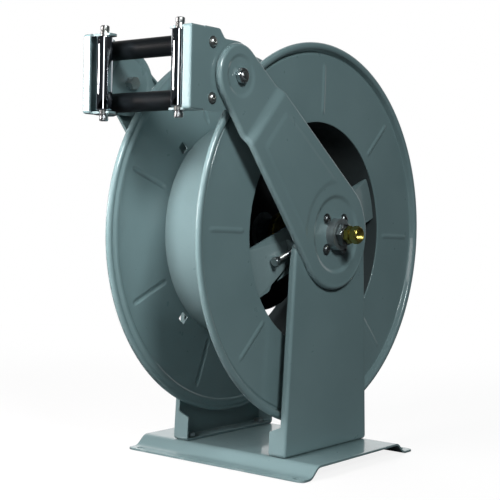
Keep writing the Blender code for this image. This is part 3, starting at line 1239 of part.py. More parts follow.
def make_clamp_bolt(material, steel, drum):
    """Welded lug on the near spider with the bolt that clamps the hose's inner end."""
    low = SPIDER_X + FIT_GAP
    away = turn_point((-1.0, 0.0), SPIDER_ANGLE)
    direction = Vector((0.0, away[0], away[1]))
    place = along(direction)
    hole = clear_bore(CLAMP_BOLT_RADIUS, FIT_GAP, 10)
    half = CLAMP_LUG_WIDTH / 2
    bm = bmesh.new()
    lug = [(low, -half), (low + CLAMP_LUG_HEIGHT, -half * 0.5), (low + CLAMP_LUG_HEIGHT, half * 0.5), (low, half)]
    centre = Vector((CLAMP_BOLT_X, 0.0))
    points = [Vector(p) for p in lug + circle((CLAMP_BOLT_X, 0.0), hole, 10)]
    edges = [(i, (i + 1) % 4) for i in range(4)] + [(4 + i, 4 + (i + 1) % 10) for i in range(10)]
    flat, _, faces, _, _, _ = geometry.delaunay_2d_cdt(points, edges, [], 1, 1e-7)
    sides = []
    across = Vector((0.0, -away[1], away[0]))
    for reach in (CLAMP_LUG_REACH, CLAMP_LUG_REACH + CLAMP_LUG_SHEET):
        verts = [bm.verts.new(Vector((p.x, 0.0, 0.0)) + across * p.y + direction * reach) for p in flat]
        for face in faces:
            middle = sum((flat[i] for i in face), Vector((0.0, 0.0))) / 3
            if (middle - centre).length > hole * 0.95:
                bm.faces.new([verts[i] for i in face])
        sides.append(verts)
    for first, count in ((0, 4), (4, 10)):
        for i in range(count):
            a, b = first + i, first + (i + 1) % count
            bm.faces.new((sides[0][a], sides[0][b], sides[1][b], sides[1][a]))
    add_object("clamp_lug", bm, material, drum)
    bolt = bmesh.new()
    outer = CLAMP_LUG_REACH + CLAMP_LUG_SHEET + CLAMP_BOLT_REACH
    nut_high = CLAMP_LUG_REACH - FIT_GAP
    nut_low = nut_high - CLAMP_NUT_WIDTH
    hexagon = regular_hexagon(CLAMP_BOLT_FLATS)
    axis = Matrix.Translation((CLAMP_BOLT_X, 0.0, 0.0)) @ place
    prism_with_shank(bolt, hexagon, outer, outer + CLAMP_BOLT_HEAD, CLAMP_BOLT_RADIUS,
                     nut_low - CLAMP_THREAD_END, axis, 10)
    add_object("clamp_bolt", bolt, steel, drum)
    ring("clamp_nut", hexagon, hole, nut_low, nut_high, steel, drum, 10, axis)


def centre_on_floor(assembly):
    """Move the assembly so that the origin is the bottom middle of its box."""
    bpy.context.view_layer.update()
    graph = bpy.context.evaluated_depsgraph_get()
    low = Vector((1e9, 1e9, 1e9))
    high = -low
    for obj in bpy.data.objects:
        if obj.type not in {"MESH", "CURVE"} or obj.hide_render:
            continue
        solid = obj.evaluated_get(graph)
        mesh = solid.to_mesh()
        for vert in mesh.vertices:
            point = solid.matrix_world @ vert.co
            low = Vector(map(min, low, point))
            high = Vector(map(max, high, point))
        solid.to_mesh_clear()
    assembly.location = (-(low.x + high.x) / 2, -(low.y + high.y) / 2, -low.z)
    print("box %s to %s, assembly moved by %s" % (low[:], high[:], assembly.location[:]))


def build():
    for obj in list(bpy.data.objects):
        bpy.data.objects.remove(obj, do_unlink=True)
    enamel = make_material("grey_enamel", (0.165, 0.215, 0.225), 0.35, 0.0)
    zinc = make_material("zinc_plate", (0.55, 0.56, 0.55), 0.35, 1.0)
    steel = make_material("steel", (0.32, 0.33, 0.33), 0.4, 1.0)
    chrome = make_material("chrome", (0.75, 0.76, 0.77), 0.12, 1.0)
    black = make_material("black_plastic", (0.015, 0.016, 0.018), 0.4, 0.0)
    brass = make_material("brass", (0.62, 0.48, 0.16), 0.3, 1.0)
    rubber = make_material("rubber", (0.02, 0.02, 0.02), 0.7, 0.0)

    assembly = add_empty("assembly", None)
    axis = add_empty("axle_line", assembly, (0.0, 0.0, AXLE_HEIGHT))
    drum = add_empty("drum_axis", axis, (DRUM_SHIFT, 0.0, 0.0))
    spring_axis = add_empty("spring_axis", axis, (DRUM_SHIFT, 0.0, 0.0))
    arms = add_empty("arm_axis", axis)
    head = add_empty("head_axis", arms, (0.0, PIVOT_Y, PIVOT_Z))
    pawl_y, pawl_z = turn_point((PAWL_PIVOT_RADIUS, 0.0), SPIDER_ANGLE)
    pawl_axis = add_empty("pawl_axis", drum, (0.0, pawl_y, pawl_z))

    base = make_base(enamel, assembly)
    make_base_bolts(base, zinc, assembly)
    for side in (1, -1):
        make_pedestal(side, enamel, assembly)
        make_axle_flange(side, steel, axis)
    make_axle(steel, axis)
    make_ratchet(steel, axis)
    make_inlet(zinc, brass, axis)
    ring("axle_spacer", circle((0.0, 0.0), AXLE_SPACER_RADIUS, 14), clear_bore(AXLE_RADIUS, FIT_GAP, 14),
         RATCHET_WIDTH + 2 * DRUM_SHIFT - AXLE_SHOULDER_X, -AXLE_SHOULDER_X, steel, axis, 14)

    make_disc(1, NEAR_RIB_ANGLE, enamel, drum)
    far_disc = make_disc(-1, FAR_RIB_ANGLE, enamel, drum)
    make_clamp_holes(far_disc, -1)
    make_barrel(enamel, drum)
    for side in (1, -1):
        make_spider(side, enamel, drum)
        low = make_hub(side, steel, drum)
        make_bearing(side, low, zinc, drum)
    make_pawl(steel, drum, pawl_axis)
    make_spring_case(zinc, steel, drum, spring_axis)
    make_swivel(brass, rubber, steel, drum)
    make_clamp_bolt(enamel, zinc, drum)

    for side in (1, -1):
        make_arm(side, enamel, arms)
        make_arm_hub(side, steel, arms)
        make_head_plate(side, enamel, head)
        make_pivot_hardware(side, zinc, arms)
        roller_x = DRUM_SHIFT + side * SIDE_ROLLER_X
        spin = add_empty("side_roller_axis_" + side_name(side), head, (roller_x, SIDE_ROLLER_Y, 0.0))
        make_side_roller(side, chrome, zinc, head, spin)
    for name, height in zip(("upper", "lower"), cross_roller_heights()):
        spin = add_empty("cross_roller_axis_" + name, head, (0.0, -CROSS_ROLLER_AHEAD, height))
        make_cross_roller(name, height, black, steel, head, spin)
    centre_on_floor(assembly)


build()
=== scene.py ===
import json
import math

import bmesh
import bpy
import numpy as np
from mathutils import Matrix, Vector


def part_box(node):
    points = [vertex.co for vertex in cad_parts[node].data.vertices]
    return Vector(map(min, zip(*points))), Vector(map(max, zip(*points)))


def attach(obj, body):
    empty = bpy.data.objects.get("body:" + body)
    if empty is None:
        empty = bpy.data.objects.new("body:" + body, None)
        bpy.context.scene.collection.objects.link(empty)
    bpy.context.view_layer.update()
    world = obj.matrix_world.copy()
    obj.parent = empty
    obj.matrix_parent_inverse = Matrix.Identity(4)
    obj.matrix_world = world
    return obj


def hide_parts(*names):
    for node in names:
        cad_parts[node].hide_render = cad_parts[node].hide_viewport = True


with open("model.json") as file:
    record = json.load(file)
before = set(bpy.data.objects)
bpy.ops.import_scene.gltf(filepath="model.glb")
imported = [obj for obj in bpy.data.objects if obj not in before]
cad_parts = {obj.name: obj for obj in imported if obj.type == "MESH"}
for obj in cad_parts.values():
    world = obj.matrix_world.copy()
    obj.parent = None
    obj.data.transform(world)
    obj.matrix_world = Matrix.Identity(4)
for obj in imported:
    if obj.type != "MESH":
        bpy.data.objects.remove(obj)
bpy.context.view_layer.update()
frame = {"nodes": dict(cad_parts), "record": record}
print("frame loaded with", len(frame["nodes"]), "nodes")


def middleOf(node):
    low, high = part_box(node)
    return (np.array(low) + np.array(high)) / 2


axle = middleOf("axle")                                  # half way between the pedestals
drum = middleOf("barrel")
pivot = middleOf("pivot_nut_near") * (0.0, 1.0, 1.0)     # of the mouth, in the reel's middle
xAxis = (1.0, 0.0, 0.0)
zAxis = (0.0, 0.0, 1.0)
white = (1.0, 1.0, 1.0, 1.0)
sides = ((1, "near"), (-1, "far"))                       # sign along X and name
gap = 0.0003                                             # between pieces that lie against each other


def addObject(name, data):
    made = bpy.data.objects.new(name, data)
    bpy.context.scene.collection.objects.link(made)
    return made


# Camera

cameraSettings = {
    "offset": (1.0342, -1.3761, 0.0327),      # from the axle's middle
    "look": (-0.6171, 0.7861, -0.0349),
    "up": (-0.0379, 0.0146, 0.9992),
    "lens": 83.235,
    "sensor": 36.0,
    "clip": (0.05, 60.0),
}


def turnedTo(back, up, place):
    # right = up x back and up = back x right, listed with back and the place
    back = np.asarray(back, float) / np.linalg.norm(back)
    right = np.cross(up, back)
    right = right / np.linalg.norm(right)
    matrix = np.eye(4)
    matrix[:, :3] = right, np.cross(back, right), back, place
    return matrix.tolist()


def makeCamera(s):
    data = bpy.data.cameras.new("camera")
    data.lens = s["lens"]
    data.sensor_width = s["sensor"]
    data.clip_start, data.clip_end = s["clip"]
    camera = addObject("camera", data)
    camera.matrix_world = turnedTo(-np.array(s["look"]), s["up"], axle + s["offset"])
    bpy.context.scene.camera = camera


# Materials

class Amount:
    # a number that changes over a surface: + - and * on it add their Math nodes
    def __init__(self, nodes, socket):
        self.nodes = nodes
        self.socket = socket

    def joined(self, operation, first, second):
        return self.nodes.amount("ShaderNodeMath", {"operation": operation}, {0: first, 1: second})

    def __add__(self, other):
        return self.joined("ADD", self, other)

    def __mul__(self, other):
        return self.joined("MULTIPLY", self, other)

    def __sub__(self, other):
        return self.joined("SUBTRACT", self, other)

    def __rsub__(self, other):
        return self.joined("SUBTRACT", other, self)

    __radd__, __rmul__ = __add__, __mul__     # the order makes no difference to these


class Nodes:
    # the nodes of a material or of the world
    def __init__(self, tree):
        self.tree = tree

    def add(self, kind, settings=None, inputs=None):
        node = self.tree.nodes.new(kind)
        for key, value in (settings or {}).items():
            setattr(node, key, value)
        for key, value in (inputs or {}).items():
            self.feed(node.inputs[key], value)
        return node

    def feed(self, socket, value):
        value = value.socket if isinstance(value, Amount) else value
        if isinstance(value, bpy.types.NodeSocket):
            self.tree.links.new(value, socket)
        else:
            socket.default_value = value

    def amount(self, kind, settings=None, inputs=None, output=0):
        return Amount(self, self.add(kind, settings, inputs).outputs[output])

    def step(self, value, low, high):
        # 0 below low, 1 above high and a smooth curve between
        return self.amount("ShaderNodeMapRange", {"interpolation_type": "SMOOTHSTEP"},
                           {"Value": value, "From Min": low, "From Max": high})

    def between(self, share, first, second):
        # share 0 is the first colour, 1 the second
        return self.add("ShaderNodeMix", {"data_type": "RGBA"}, {0: share, 6: first, 7: second}).outputs[2]


class Finish(Nodes):
    # a material whose patterns are read from Object coordinates
    def __init__(self, name, inputs):
        self.material = bpy.data.materials.new(name)
        self.material.use_nodes = True
        super().__init__(self.material.node_tree)
        self.shader = self.tree.nodes["Principled BSDF"]
        self.set(inputs)
        self.place = self.add("ShaderNodeTexCoord").outputs["Object"]

    def set(self, inputs):
        for key, value in inputs.items():
            self.feed(self.shader.inputs[key], value)

    def noise(self, scale, detail, rough=0.5, stretch=(1.0, 1.0, 1.0)):
        place = self.add("ShaderNodeMapping", {}, {"Vector": self.place, "Scale": stretch}).outputs[0]
        return self.amount("ShaderNodeTexNoise", {}, {"Vector": place, "Scale": scale, "Detail": detail,
                                                      "Roughness": rough})

    def bump(self, height, strength, distance):
        inputs = {"Height": height, "Strength": strength, "Distance": distance}
        self.set({"Normal": self.add("ShaderNodeBump", {}, inputs).outputs[0]})


# each noise is its scale and detail, each range where a mark begins and is full
enamelSettings = {
    "shader": {"Coat Weight": 0.75, "Coat Roughness": 0.08, "Specular IOR Level": 0.45},
    "paint": (0.152, 0.228, 0.239, 1.0), "light": (0.168, 0.248, 0.260, 1.0),
    "drift": (7.0, 4.0), "driftRange": (0.35, 0.65),
    "worn": (0.330, 0.400, 0.410, 1.0), "wornShare": 0.35, "chips": (260.0, 2.0), "chipReach": 0.02,
    "edgeRange": (0.525, 0.60),
    "rough": 0.24, "cloud": (60.0, 3.0), "cloudShare": 0.12,
    # near black and dull inside this radius round the drum's middle line: painted shade for the inside of the drum
    "insideShade": (0.035, 0.048, 0.051, 1.0), "insideShadeRough": 0.85, "insideShadeRadius": 0.161, "insideShadeEdge": 0.0003,
    "peel": (320.0, 2.0), "wave": (14.0, 1.0), "waveShare": 3.0, "bump": (0.10, 0.0006),
}


def makeEnamel(name, shadeRadius=0.0):
    # gloss enamel: tone drifts over the sheets, orange peel in the bump, thinner and lighter paint on
    # edges; nearer to the drum's middle line than the shade radius it is near black and dull, painted shade
    # for the inside of the drum
    s = enamelSettings
    finish = Finish(name, s["shader"])
    tone = finish.between(finish.step(finish.noise(*s["drift"]), *s["driftRange"]), s["paint"], s["light"])
    edges = finish.amount("ShaderNodeNewGeometry", {}, {}, "Pointiness")
    edges = finish.step(edges + (finish.noise(*s["chips"]) - 0.5) * s["chipReach"], *s["edgeRange"])
    tone = finish.between(edges * s["wornShare"], tone, s["worn"])
    rough = s["rough"] + finish.noise(*s["cloud"]) * s["cloudShare"]
    if shadeRadius:
        # inside the shade radius the colour is near black, dull and without coat: painted shade inside the drum
        across = finish.add("ShaderNodeVectorMath", {"operation": "MULTIPLY_ADD"},
                            {0: finish.place, 1: (0.0, 1.0, 1.0), 2: (0.0, -drum[1], -drum[2])}).outputs[0]
        reach = finish.amount("ShaderNodeVectorMath", {"operation": "LENGTH"}, {0: across}, "Value")
        enamelShare = finish.step(reach, shadeRadius - s["insideShadeEdge"], shadeRadius + s["insideShadeEdge"])
        tone = finish.between(enamelShare, s["insideShade"], tone)
        rough = s["insideShadeRough"] - enamelShare * (s["insideShadeRough"] - rough)
        finish.set({"Coat Weight": enamelShare * s["shader"]["Coat Weight"]})
    finish.set({"Base Color": tone, "Roughness": rough})
    finish.bump(finish.noise(*s["peel"]) + finish.noise(*s["wave"]) * s["waveShare"], *s["bump"])
    return finish.material


# grain and patches are noise (scale, detail, roughness, stretch), range is where a patch begins and is
# full, tones are outside and inside it; rough is a base and the shares of grain and patches
bareSettings = {
    # bright zinc plate: blotches of bluish and straw passivation over a fine spangle
    "zincPlate": {
        "shader": {"Metallic": 1.0}, "grain": (1400.0, 2.0), "patch": (55.0, 4.0, 0.6), "range": (0.42, 0.62),
        "tones": ((0.62, 0.65, 0.67, 1.0), (0.49, 0.50, 0.48, 1.0)), "rough": (0.20, 0.14, 0.08),
        "bump": (0.15, 0.0002),
    },
    # zinc plate made near black, a painted shade for the spring case inside the drum: soft cloudy patches and a fine
    # grain
    "zincPaintedShade": {
        "shader": {"Specular IOR Level": 0.35}, "grain": (1200.0, 2.0), "patch": (30.0, 4.0, 0.6),
        "range": (0.40, 0.68), "tones": ((0.012, 0.013, 0.014, 1.0), (0.022, 0.023, 0.024, 1.0)),
        "rough": (0.42, 0.0, 0.15), "bump": (0.15, 0.0002),
    },
    # turned steel: fine rings along the axle's line, with darker oiled patches
    "turnedSteel": {
        "shader": {"Metallic": 1.0}, "grain": (40.0, 2.0, 0.5, (60.0, 0.4, 0.4)), "patch": (38.0, 4.0, 0.6),
        "range": (0.40, 0.66), "tones": ((0.44, 0.50, 0.51, 1.0), (0.28, 0.32, 0.33, 1.0)),
        "rough": (0.42, 0.16, 0.10), "bump": (0.20, 0.0002),
    },
    # polished chrome: faint wipe marks round the rollers
    "chrome": {
        "shader": {"Metallic": 1.0}, "grain": (60.0, 4.0, 0.6, (0.5, 0.5, 18.0)),
        "patch": (60.0, 4.0, 0.6, (0.5, 0.5, 18.0)), "range": (0.3, 0.7),
        "tones": ((0.80, 0.84, 0.88, 1.0), (0.70, 0.74, 0.79, 1.0)), "rough": (0.03, 0.03, 0.0),
    },
    # satin black plastic: lengthwise drawing lines and rubbed patches
    "blackPlastic": {
        "shader": {"Specular IOR Level": 0.18}, "grain": (70.0, 3.0, 0.6, (0.25, 9.0, 9.0)),
        "patch": (26.0, 4.0, 0.6, (0.6, 1.0, 1.0)), "range": (0.5, 0.72),
        "tones": ((0.0022, 0.0030, 0.0036, 1.0), (0.006, 0.008, 0.0095, 1.0)), "rough": (0.40, 0.18, 0.08),
        "bump": (0.12, 0.0003),
    },
    # turned brass: tool rings and patches of brown tarnish
    "brass": {
        "shader": {"Metallic": 1.0}, "grain": (40.0, 2.0, 0.5, (50.0, 0.5, 0.5)), "patch": (120.0, 4.0, 0.65),
        "range": (0.48, 0.70), "tones": ((0.42, 0.35, 0.085, 1.0), (0.20, 0.15, 0.04, 1.0)),
        "rough": (0.22, 0.14, 0.15), "bump": (0.20, 0.0002),
    },
    # black rubber with a greyish bloom
    "rubber": {
        "shader": {"Specular IOR Level": 0.3}, "grain": (1500.0, 2.0), "patch": (160.0, 4.0, 0.6),
        "range": (0.45, 0.7), "tones": ((0.014, 0.014, 0.015, 1.0), (0.030, 0.030, 0.031, 1.0)),
        "rough": (0.6, 0.0, 0.2), "bump": (0.2, 0.0002),
    },
}


# turned steel that is nearly black with oil, for the lock nuts and hub screws
oiledSettings = dict(bareSettings["turnedSteel"], tones=((0.24, 0.26, 0.265, 1.0), (0.12, 0.13, 0.135, 1.0)),
                     rough=(0.24, 0.16, 0.10))


def makeBare(name, s):
    # an unpainted surface: roughness = base + share * grain + share * patches, and the grain is the bump
    finish = Finish(name, s["shader"])
    grain = finish.noise(*s["grain"])
    patch = finish.step(finish.noise(*s["patch"]), *s["range"])
    base, grainShare, patchShare = s["rough"]
    finish.set({"Base Color": finish.between(patch, *s["tones"]),
                "Roughness": base + grain * grainShare + patch * patchShare})
    if "bump" in s:
        finish.bump(grain, *s["bump"])
    return finish.material


enamel = makeEnamel("greyEnamel")
# the barrel's enamel, with painted shade on its inside
barrelEnamelShadedInside = makeEnamel("barrelEnamelShadedInside", enamelSettings["insideShadeRadius"])
zinc, zincPaintedShade, steel, chrome, plastic, brass, rubber = [makeBare(*entry) for entry in bareSettings.items()]
darkSteel = makeBare("darkSteel", oiledSettings)
slotFinishes = {"grey_enamel": enamel, "zinc_plate": zinc, "steel": steel, "chrome": chrome,
                "black_plastic": plastic, "brass": brass, "rubber": rubber}
print("materials made")


# Shapes: a shell is an array of points and an array of four-cornered faces

def gridFaces(rows, columns, closeRows=False, closeColumns=False):
    # each face joins a point of the grid with the next in its row and in its column
    row, column = np.meshgrid(np.arange(rows if closeRows else rows - 1),
                              np.arange(columns if closeColumns else columns - 1), indexing="ij")
    nextRow, nextColumn = (row + 1) % rows, (column + 1) % columns
    corners = [row * columns + column, row * columns + nextColumn,
               nextRow * columns + nextColumn, nextRow * columns + column]
    return np.stack(corners, -1).reshape(-1, 4)


def joinShells(*shells):
    starts = np.cumsum([0] + [len(points) for points, faces in shells])
    return (np.concatenate([points for points, faces in shells]),
            np.concatenate([faces + start for (points, faces), start in zip(shells, starts)]))


def roundCorners(points, radius, steps=4, closed=False):
    # each corner becomes (1-t)^2 * start + 2t(1-t) * corner + t^2 * end, with t from 0 to 1
    points = np.asarray(points, float)
    before, after = np.roll(points, 1, 0) - points, np.roll(points, -1, 0) - points
    beforeLength = np.linalg.norm(before[:, :2], axis=1)
    afterLength = np.linalg.norm(after[:, :2], axis=1)
    reach = np.minimum(radius, np.minimum(beforeLength, afterLength) / 2)
    if not closed:
        reach[[0, -1]] = 0.0
    start = points + before * (reach / np.maximum(beforeLength, 1e-9))[:, None]
    end = points + after * (reach / np.maximum(afterLength, 1e-9))[:, None]
    t = np.linspace(0.0, 1.0, steps + 1)[None, :, None]
    curve = (1 - t) ** 2 * start[:, None] + 2 * t * (1 - t) * points[:, None] + t ** 2 * end[:, None]
    return curve.reshape(-1, points.shape[1])


def spread(points, spacing, closed=False):
    # each stretch between two points gets even points no further apart than the spacing
    points = np.asarray(points, float)
    ends = np.roll(points, -1, 0) if closed else points[1:]
    starts = points if closed else points[:-1]
    length = np.linalg.norm(ends - starts, axis=1)
    starts, ends, length = starts[length > 1e-6], ends[length > 1e-6], length[length > 1e-6]
    counts = np.ceil(length / spacing).astype(int)
    index = np.repeat(np.arange(len(starts)), counts)
    share = (np.arange(len(index)) - np.repeat(np.cumsum(counts) - counts, counts)) / counts[index]
    line = starts[index] + share[:, None] * (ends - starts)[index]
    return line if closed else np.concatenate([line, points[-1:]])


def arcPoints(radius, start, end, count):
    # (radius * cos, radius * sin) of even angles
    angle = np.linspace(start, end, count)
    return radius * np.stack([np.cos(angle), np.sin(angle)], -1)


def turnPoints(points, angle):
    cosine, sine = math.cos(angle), math.sin(angle)
    return np.asarray(points, float) @ np.array([[cosine, sine], [-sine, cosine]])


def spoke(angle):
    # direction square to the axle, from the rear (0) over the top (a quarter turn)
    return np.array([0.0, math.cos(angle), math.sin(angle)])


def boltPlaces(circle):
    # four places on a circle round the axle, each half way between level and upright
    return [axle + circle * spoke(math.pi / 4 + index * math.pi / 2) for index in range(4)]


def withX(flat, x):
    # flat points (y, z) become (x, y, z)
    return np.concatenate([np.broadcast_to(x, flat.shape[:-1])[..., None], flat], -1)


def smooth(share):
    # 3t^2 - 2t^3 with t held between 0 and 1
    share = np.clip(share, 0.0, 1.0)
    return share * share * (3.0 - 2.0 * share)


def acrossLine(direction):
    # the line's unit direction and two more square to it
    direction = np.asarray(direction, float) / np.linalg.norm(direction)
    helper = (0.0, 0.0, 1.0) if abs(direction[2]) < 0.9 else (0.0, 1.0, 0.0)
    across = np.cross(helper, direction)
    across = across / np.linalg.norm(across)
    return direction, across, np.cross(direction, across)


def lathe(profile, middle, direction=xAxis, count=96, corner=0.0004, closed=False, turn=0.0):
    # rows of (along, radius, flats) turned round a line; the reach at an angle is the lesser of the
    # radius and of flats / 2 / cos(angle from the nearest flat's middle): hexagons where flats is small
    profile = np.array([(*row, 1.0)[:3] for row in profile], float)
    profile = roundCorners(profile, corner, 2, closed)
    angle = 2 * math.pi * np.arange(count) / count
    line, across, up = acrossLine(direction)
    ring = np.cos(angle)[:, None] * across + np.sin(angle)[:, None] * up
    flat = profile[:, 2:3] / 2 / np.cos((angle - turn) % (math.pi / 3) - math.pi / 6)[None]
    reach = np.minimum(profile[:, 1:2], flat)
    points = np.asarray(middle) + profile[:, None, 0:1] * line + reach[:, :, None] * ring[None]
    return points.reshape(-1, 3), gridFaces(len(profile), count, closed, True)


def steppedRows(inner, *steps):
    # section of a bored body: each step runs from low to high at its own outer radius
    rows = [(steps[0][0], inner)]
    for low, high, outer in steps:
        rows += [(low, outer), (high, outer)]
    return rows + [(steps[-1][1], inner)]


def bothEnds(rows):
    # rows from the middle out to the end, and the same at the other end
    return [(-x, *rest) for x, *rest in reversed(rows)] + rows


def rollerRows(half, inner, outer, bevel):
    # section of a sleeve with bevelled outer edges
    return bothEnds([(half - bevel, outer), (half, outer - bevel), (half, inner)])


def drill(place, direction, low, high, radius, count):
    # a plain cylinder that cuts a round hole
    return lathe(steppedRows(0.0, (low, high, radius)), place, direction, count, 0.0)


def hexStations(low, high, flats, highCut=True):
    # outline of a hexagonal body with 30 degree turned chamfers
    cut, face = flats * 0.055, flats * 0.475
    wide = face + cut * 1.75
    end = [(high - cut, wide, flats), (high, face, flats)] if highCut else [(high, flats, flats)]
    return [(low, face, flats), (low + cut, wide, flats)] + end


def hexNut(flats, low, high, bore, middle, direction=xAxis, turn=0.0):
    # hexagonal body whose bore widens to a lip over a short bevel
    lip, bevel = bore + (flats / 2 - bore) * 0.12, 0.0007
    rows = [(low, lip), *hexStations(low, high, flats), (high, lip), (high - bevel, bore), (low + bevel, bore)]
    return lathe(rows, middle, direction, 144, 0.00025, True, turn)


def threadRows(low, high, radius, pitch):
    # the radius falls and rises by 0.55 pitch once a pitch, and both ends are in a valley
    count = max(int(round(abs(high - low) / pitch)) * 2, 2)
    along = np.linspace(low, high, count + 1)
    depth = np.where(np.arange(count + 1) % 2 == 0, 0.55 * pitch, 0.0)
    return [(x, radius - d) for x, d in zip(along, depth)]


def hexBolt(flats, seat, top, radius, tip, middle, direction=xAxis, turn=0.0, thread=0.02):
    # hexagonal head from seat to top, then a shank that ends in a thread at the tip; rows are measured
    # from the seat, up into the head and down along the shank
    pitch = 0.00125
    height, length = abs(top - seat), abs(tip - seat)
    start = max(length - thread, length * 0.1)
    head = [(height - x, *rest) for x, *rest in hexStations(0.0, height, flats, False)]
    rows = [(height, 0.0), *head, (0.0, flats * 0.47, flats), (0.0, radius), (-start, radius)]
    rows += threadRows(-start - pitch / 2, -length + pitch, radius, pitch)
    rows += [(-length, radius * 0.8), (-length, 0.0)]
    sign = 1.0 if top > seat else -1.0
    rows = [(seat + sign * x, *rest) for x, *rest in rows]
    return lathe(rows, middle, direction, 96, 0.0002, False, turn)


def domeRows(seat, s):
    # rounded head over its seat, with a hexagonal socket in the top that ends in a shallow cone
    top, wide = seat + s["height"], s["radius"]
    radius, flats, depth = s["socket"]
    rows = [(seat + s["height"] * up, wide * out) for up, out in s["dome"]]
    return rows + [(top, radius, flats), (top - depth, radius, flats), (top - depth - 0.0004, 0.0)]


def plateShell(outline, low, high, hole, edge):
    # a flat plate across X: loops run from its hole to the outline, drawn in by the edge on both faces
    unit = outline / np.linalg.norm(outline, axis=1, keepdims=True)
    near = edge * 0.3
    loops = [(low, hole * unit), (low, outline - unit * edge), (low + near, outline - unit * near),
             (low + edge, outline), (high - edge, outline), (high - near, outline - unit * near),
             (high, outline - unit * edge), (high, hole * unit)]
    return np.concatenate([withX(loop, x) for x, loop in loops]), gridFaces(len(loops), len(outline), True, True)


def starFill(outline, centre, hole, rings):
    # from a round hole at the centre straight out to each point of the outline, in even shares
    arm = outline - centre
    unit = arm / np.linalg.norm(arm, axis=1, keepdims=True)
    share = np.linspace(0.0, 1.0, rings + 1)[:, None, None]
    return centre + (1 - share) * hole * unit[None] + share * arm[None]


def outwardOf(line):
    # across a line of points, to its right
    along = np.gradient(line, axis=0)
    along = along / np.linalg.norm(along, axis=1, keepdims=True)
    return np.stack([along[:, 1], -along[:, 0]], -1)


def foldSkirt(line, outward, face, bend, depths, wallSteps=8):
    # a quarter round of the bend's radius, then a straight wall in to each point's own depth
    angle = np.linspace(0.0, math.pi / 2, 8)
    wall = np.linspace(0.0, 1.0, wallSteps + 1)[1:]
    fall = np.concatenate([np.repeat((bend * (1 - np.cos(angle)))[:, None], len(line), 1),
                           bend + wall[:, None] * (depths - bend)[None]])
    reach = np.concatenate([bend * np.sin(angle), np.full(wallSteps, bend)])
    flat = line[None] + reach[:, None, None] * outward[None]
    return withX(flat, face - fall).reshape(-1, 3), gridFaces(len(reach), len(line))


def webShell(web, x):
    # the rings of a filled web, each closed on itself
    return withX(web, x).reshape(-1, 3), gridFaces(web.shape[0], web.shape[1], False, True)


def placed(shell, place, side=1):
    # mirrored to its side of the reel, then moved to its place
    points, faces = shell
    return points * (side, 1.0, 1.0) + place, faces


def addMesh(name, shell):
    points, faces = shell
    mesh = bpy.data.meshes.new(name)
    mesh.from_pydata(points.tolist(), [], faces.tolist())
    bm = bmesh.new()
    bm.from_mesh(mesh)
    bmesh.ops.remove_doubles(bm, verts=bm.verts, dist=2e-6)
    bmesh.ops.recalc_face_normals(bm, faces=bm.faces)
    bm.to_mesh(mesh)
    bm.free()
    return addObject(name, mesh)


def putPiece(node, shell, body, slotName, sheet=0.0, facing=None, holes=None, rim=0.0, crease=35.0,
             finish=None, stands=True):
    # a shell becomes a finished piece, named after the node that it stands for: wall thickness, holes,
    # rounded rims and shading, with the finish of its slot unless another is given
    first, *others = node.split("_")
    piece = addMesh(first + "".join(word.title() for word in others), shell)
    mesh = piece.data
    if facing is not None and sum(face.area * face.normal.dot(facing) for face in mesh.polygons) < 0.0:
        mesh.flip_normals()
    if sheet:
        wall = piece.modifiers.new("sheet", "SOLIDIFY")
        wall.thickness = sheet
        wall.offset = -1.0
        wall.use_even_offset = True
    if holes is not None:
        cutter = addMesh(piece.name + "Cutter", holes)
        cut = piece.modifiers.new("holes", "BOOLEAN")
        cut.operation = "DIFFERENCE"
        cut.solver = "EXACT"
        cut.object = cutter
    if rim:
        bevel = piece.modifiers.new("rim", "BEVEL")
        bevel.width = rim
        bevel.segments = 2
        bevel.limit_method = "ANGLE"
        bevel.angle_limit = math.radians(50.0)
    if piece.modifiers:
        graph = bpy.context.evaluated_depsgraph_get()
        mesh = bpy.data.meshes.new_from_object(piece.evaluated_get(graph))
        piece.modifiers.clear()
        piece.data = mesh
    if holes is not None:
        bpy.data.objects.remove(cutter)
    mesh.materials.clear()
    mesh.materials.append(finish or slotFinishes[slotName])
    mesh.shade_smooth()
    mesh.set_sharp_from_angle(angle=math.radians(crease))
    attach(piece, body)
    if stands:
        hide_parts(node)


# Drum

discSettings = {
    "radius": 0.2735, "sheet": 0.002, "face": 0.077, "hole": 0.1605, "lip": (0.0007, 0.0005),
    "rimWidth": 0.009, "rimHeight": 0.011, "rimOffset": 0.0026, "rimTurn": (150.0, -112.0), "rimSteps": 26,
    "groove": 0.0017, "grooveWidth": 0.0020, "corner": 0.0006, "spacing": 0.0028,
    "ribInner": 0.173, "ribOuter": 0.245, "ribWidth": 0.010, "ribHeights": {1: 0.0013, -1: 0.0020},
    "ribAngles": {1: math.radians(88.5), -1: math.radians(24.2)}, "ribReach": 0.042, "ribColumns": 22,
    "plainColumns": 26, "holeSize": 0.0138, "holeCorner": 0.0015, "holeRadius": 0.1735, "holeReach": 0.01,
}


def discSection(s):
    # closed line of (radius, x): outer face, rolled rim, inner face
    face, hole, deep = s["face"], s["hole"], s["groove"]
    rimX, rimRadius = face + s["rimOffset"], s["radius"] - s["rimHeight"] / 2
    webEnd = s["radius"] - s["rimHeight"] - s["sheet"]
    back, groove = face - s["sheet"], webEnd - s["grooveWidth"]
    angle = np.radians(np.linspace(*s["rimTurn"], s["rimSteps"]))
    rim = np.stack([rimRadius + s["rimHeight"] / 2 * np.cos(angle), rimX + s["rimWidth"] / 2 * np.sin(angle)], -1)
    out, fall = s["lip"]
    front = [(hole, face - fall), (hole + out, face), (groove - deep, face), (groove, face - deep),
             (webEnd, face - deep * 0.8)]
    rear = [(webEnd, back - deep * 0.8), (groove - deep, back - deep * 0.8), (groove - deep * 2, back), (hole, back)]
    line = np.concatenate([front, rim, rear])
    return spread(roundCorners(line, s["corner"], 3, True), s["spacing"], True)


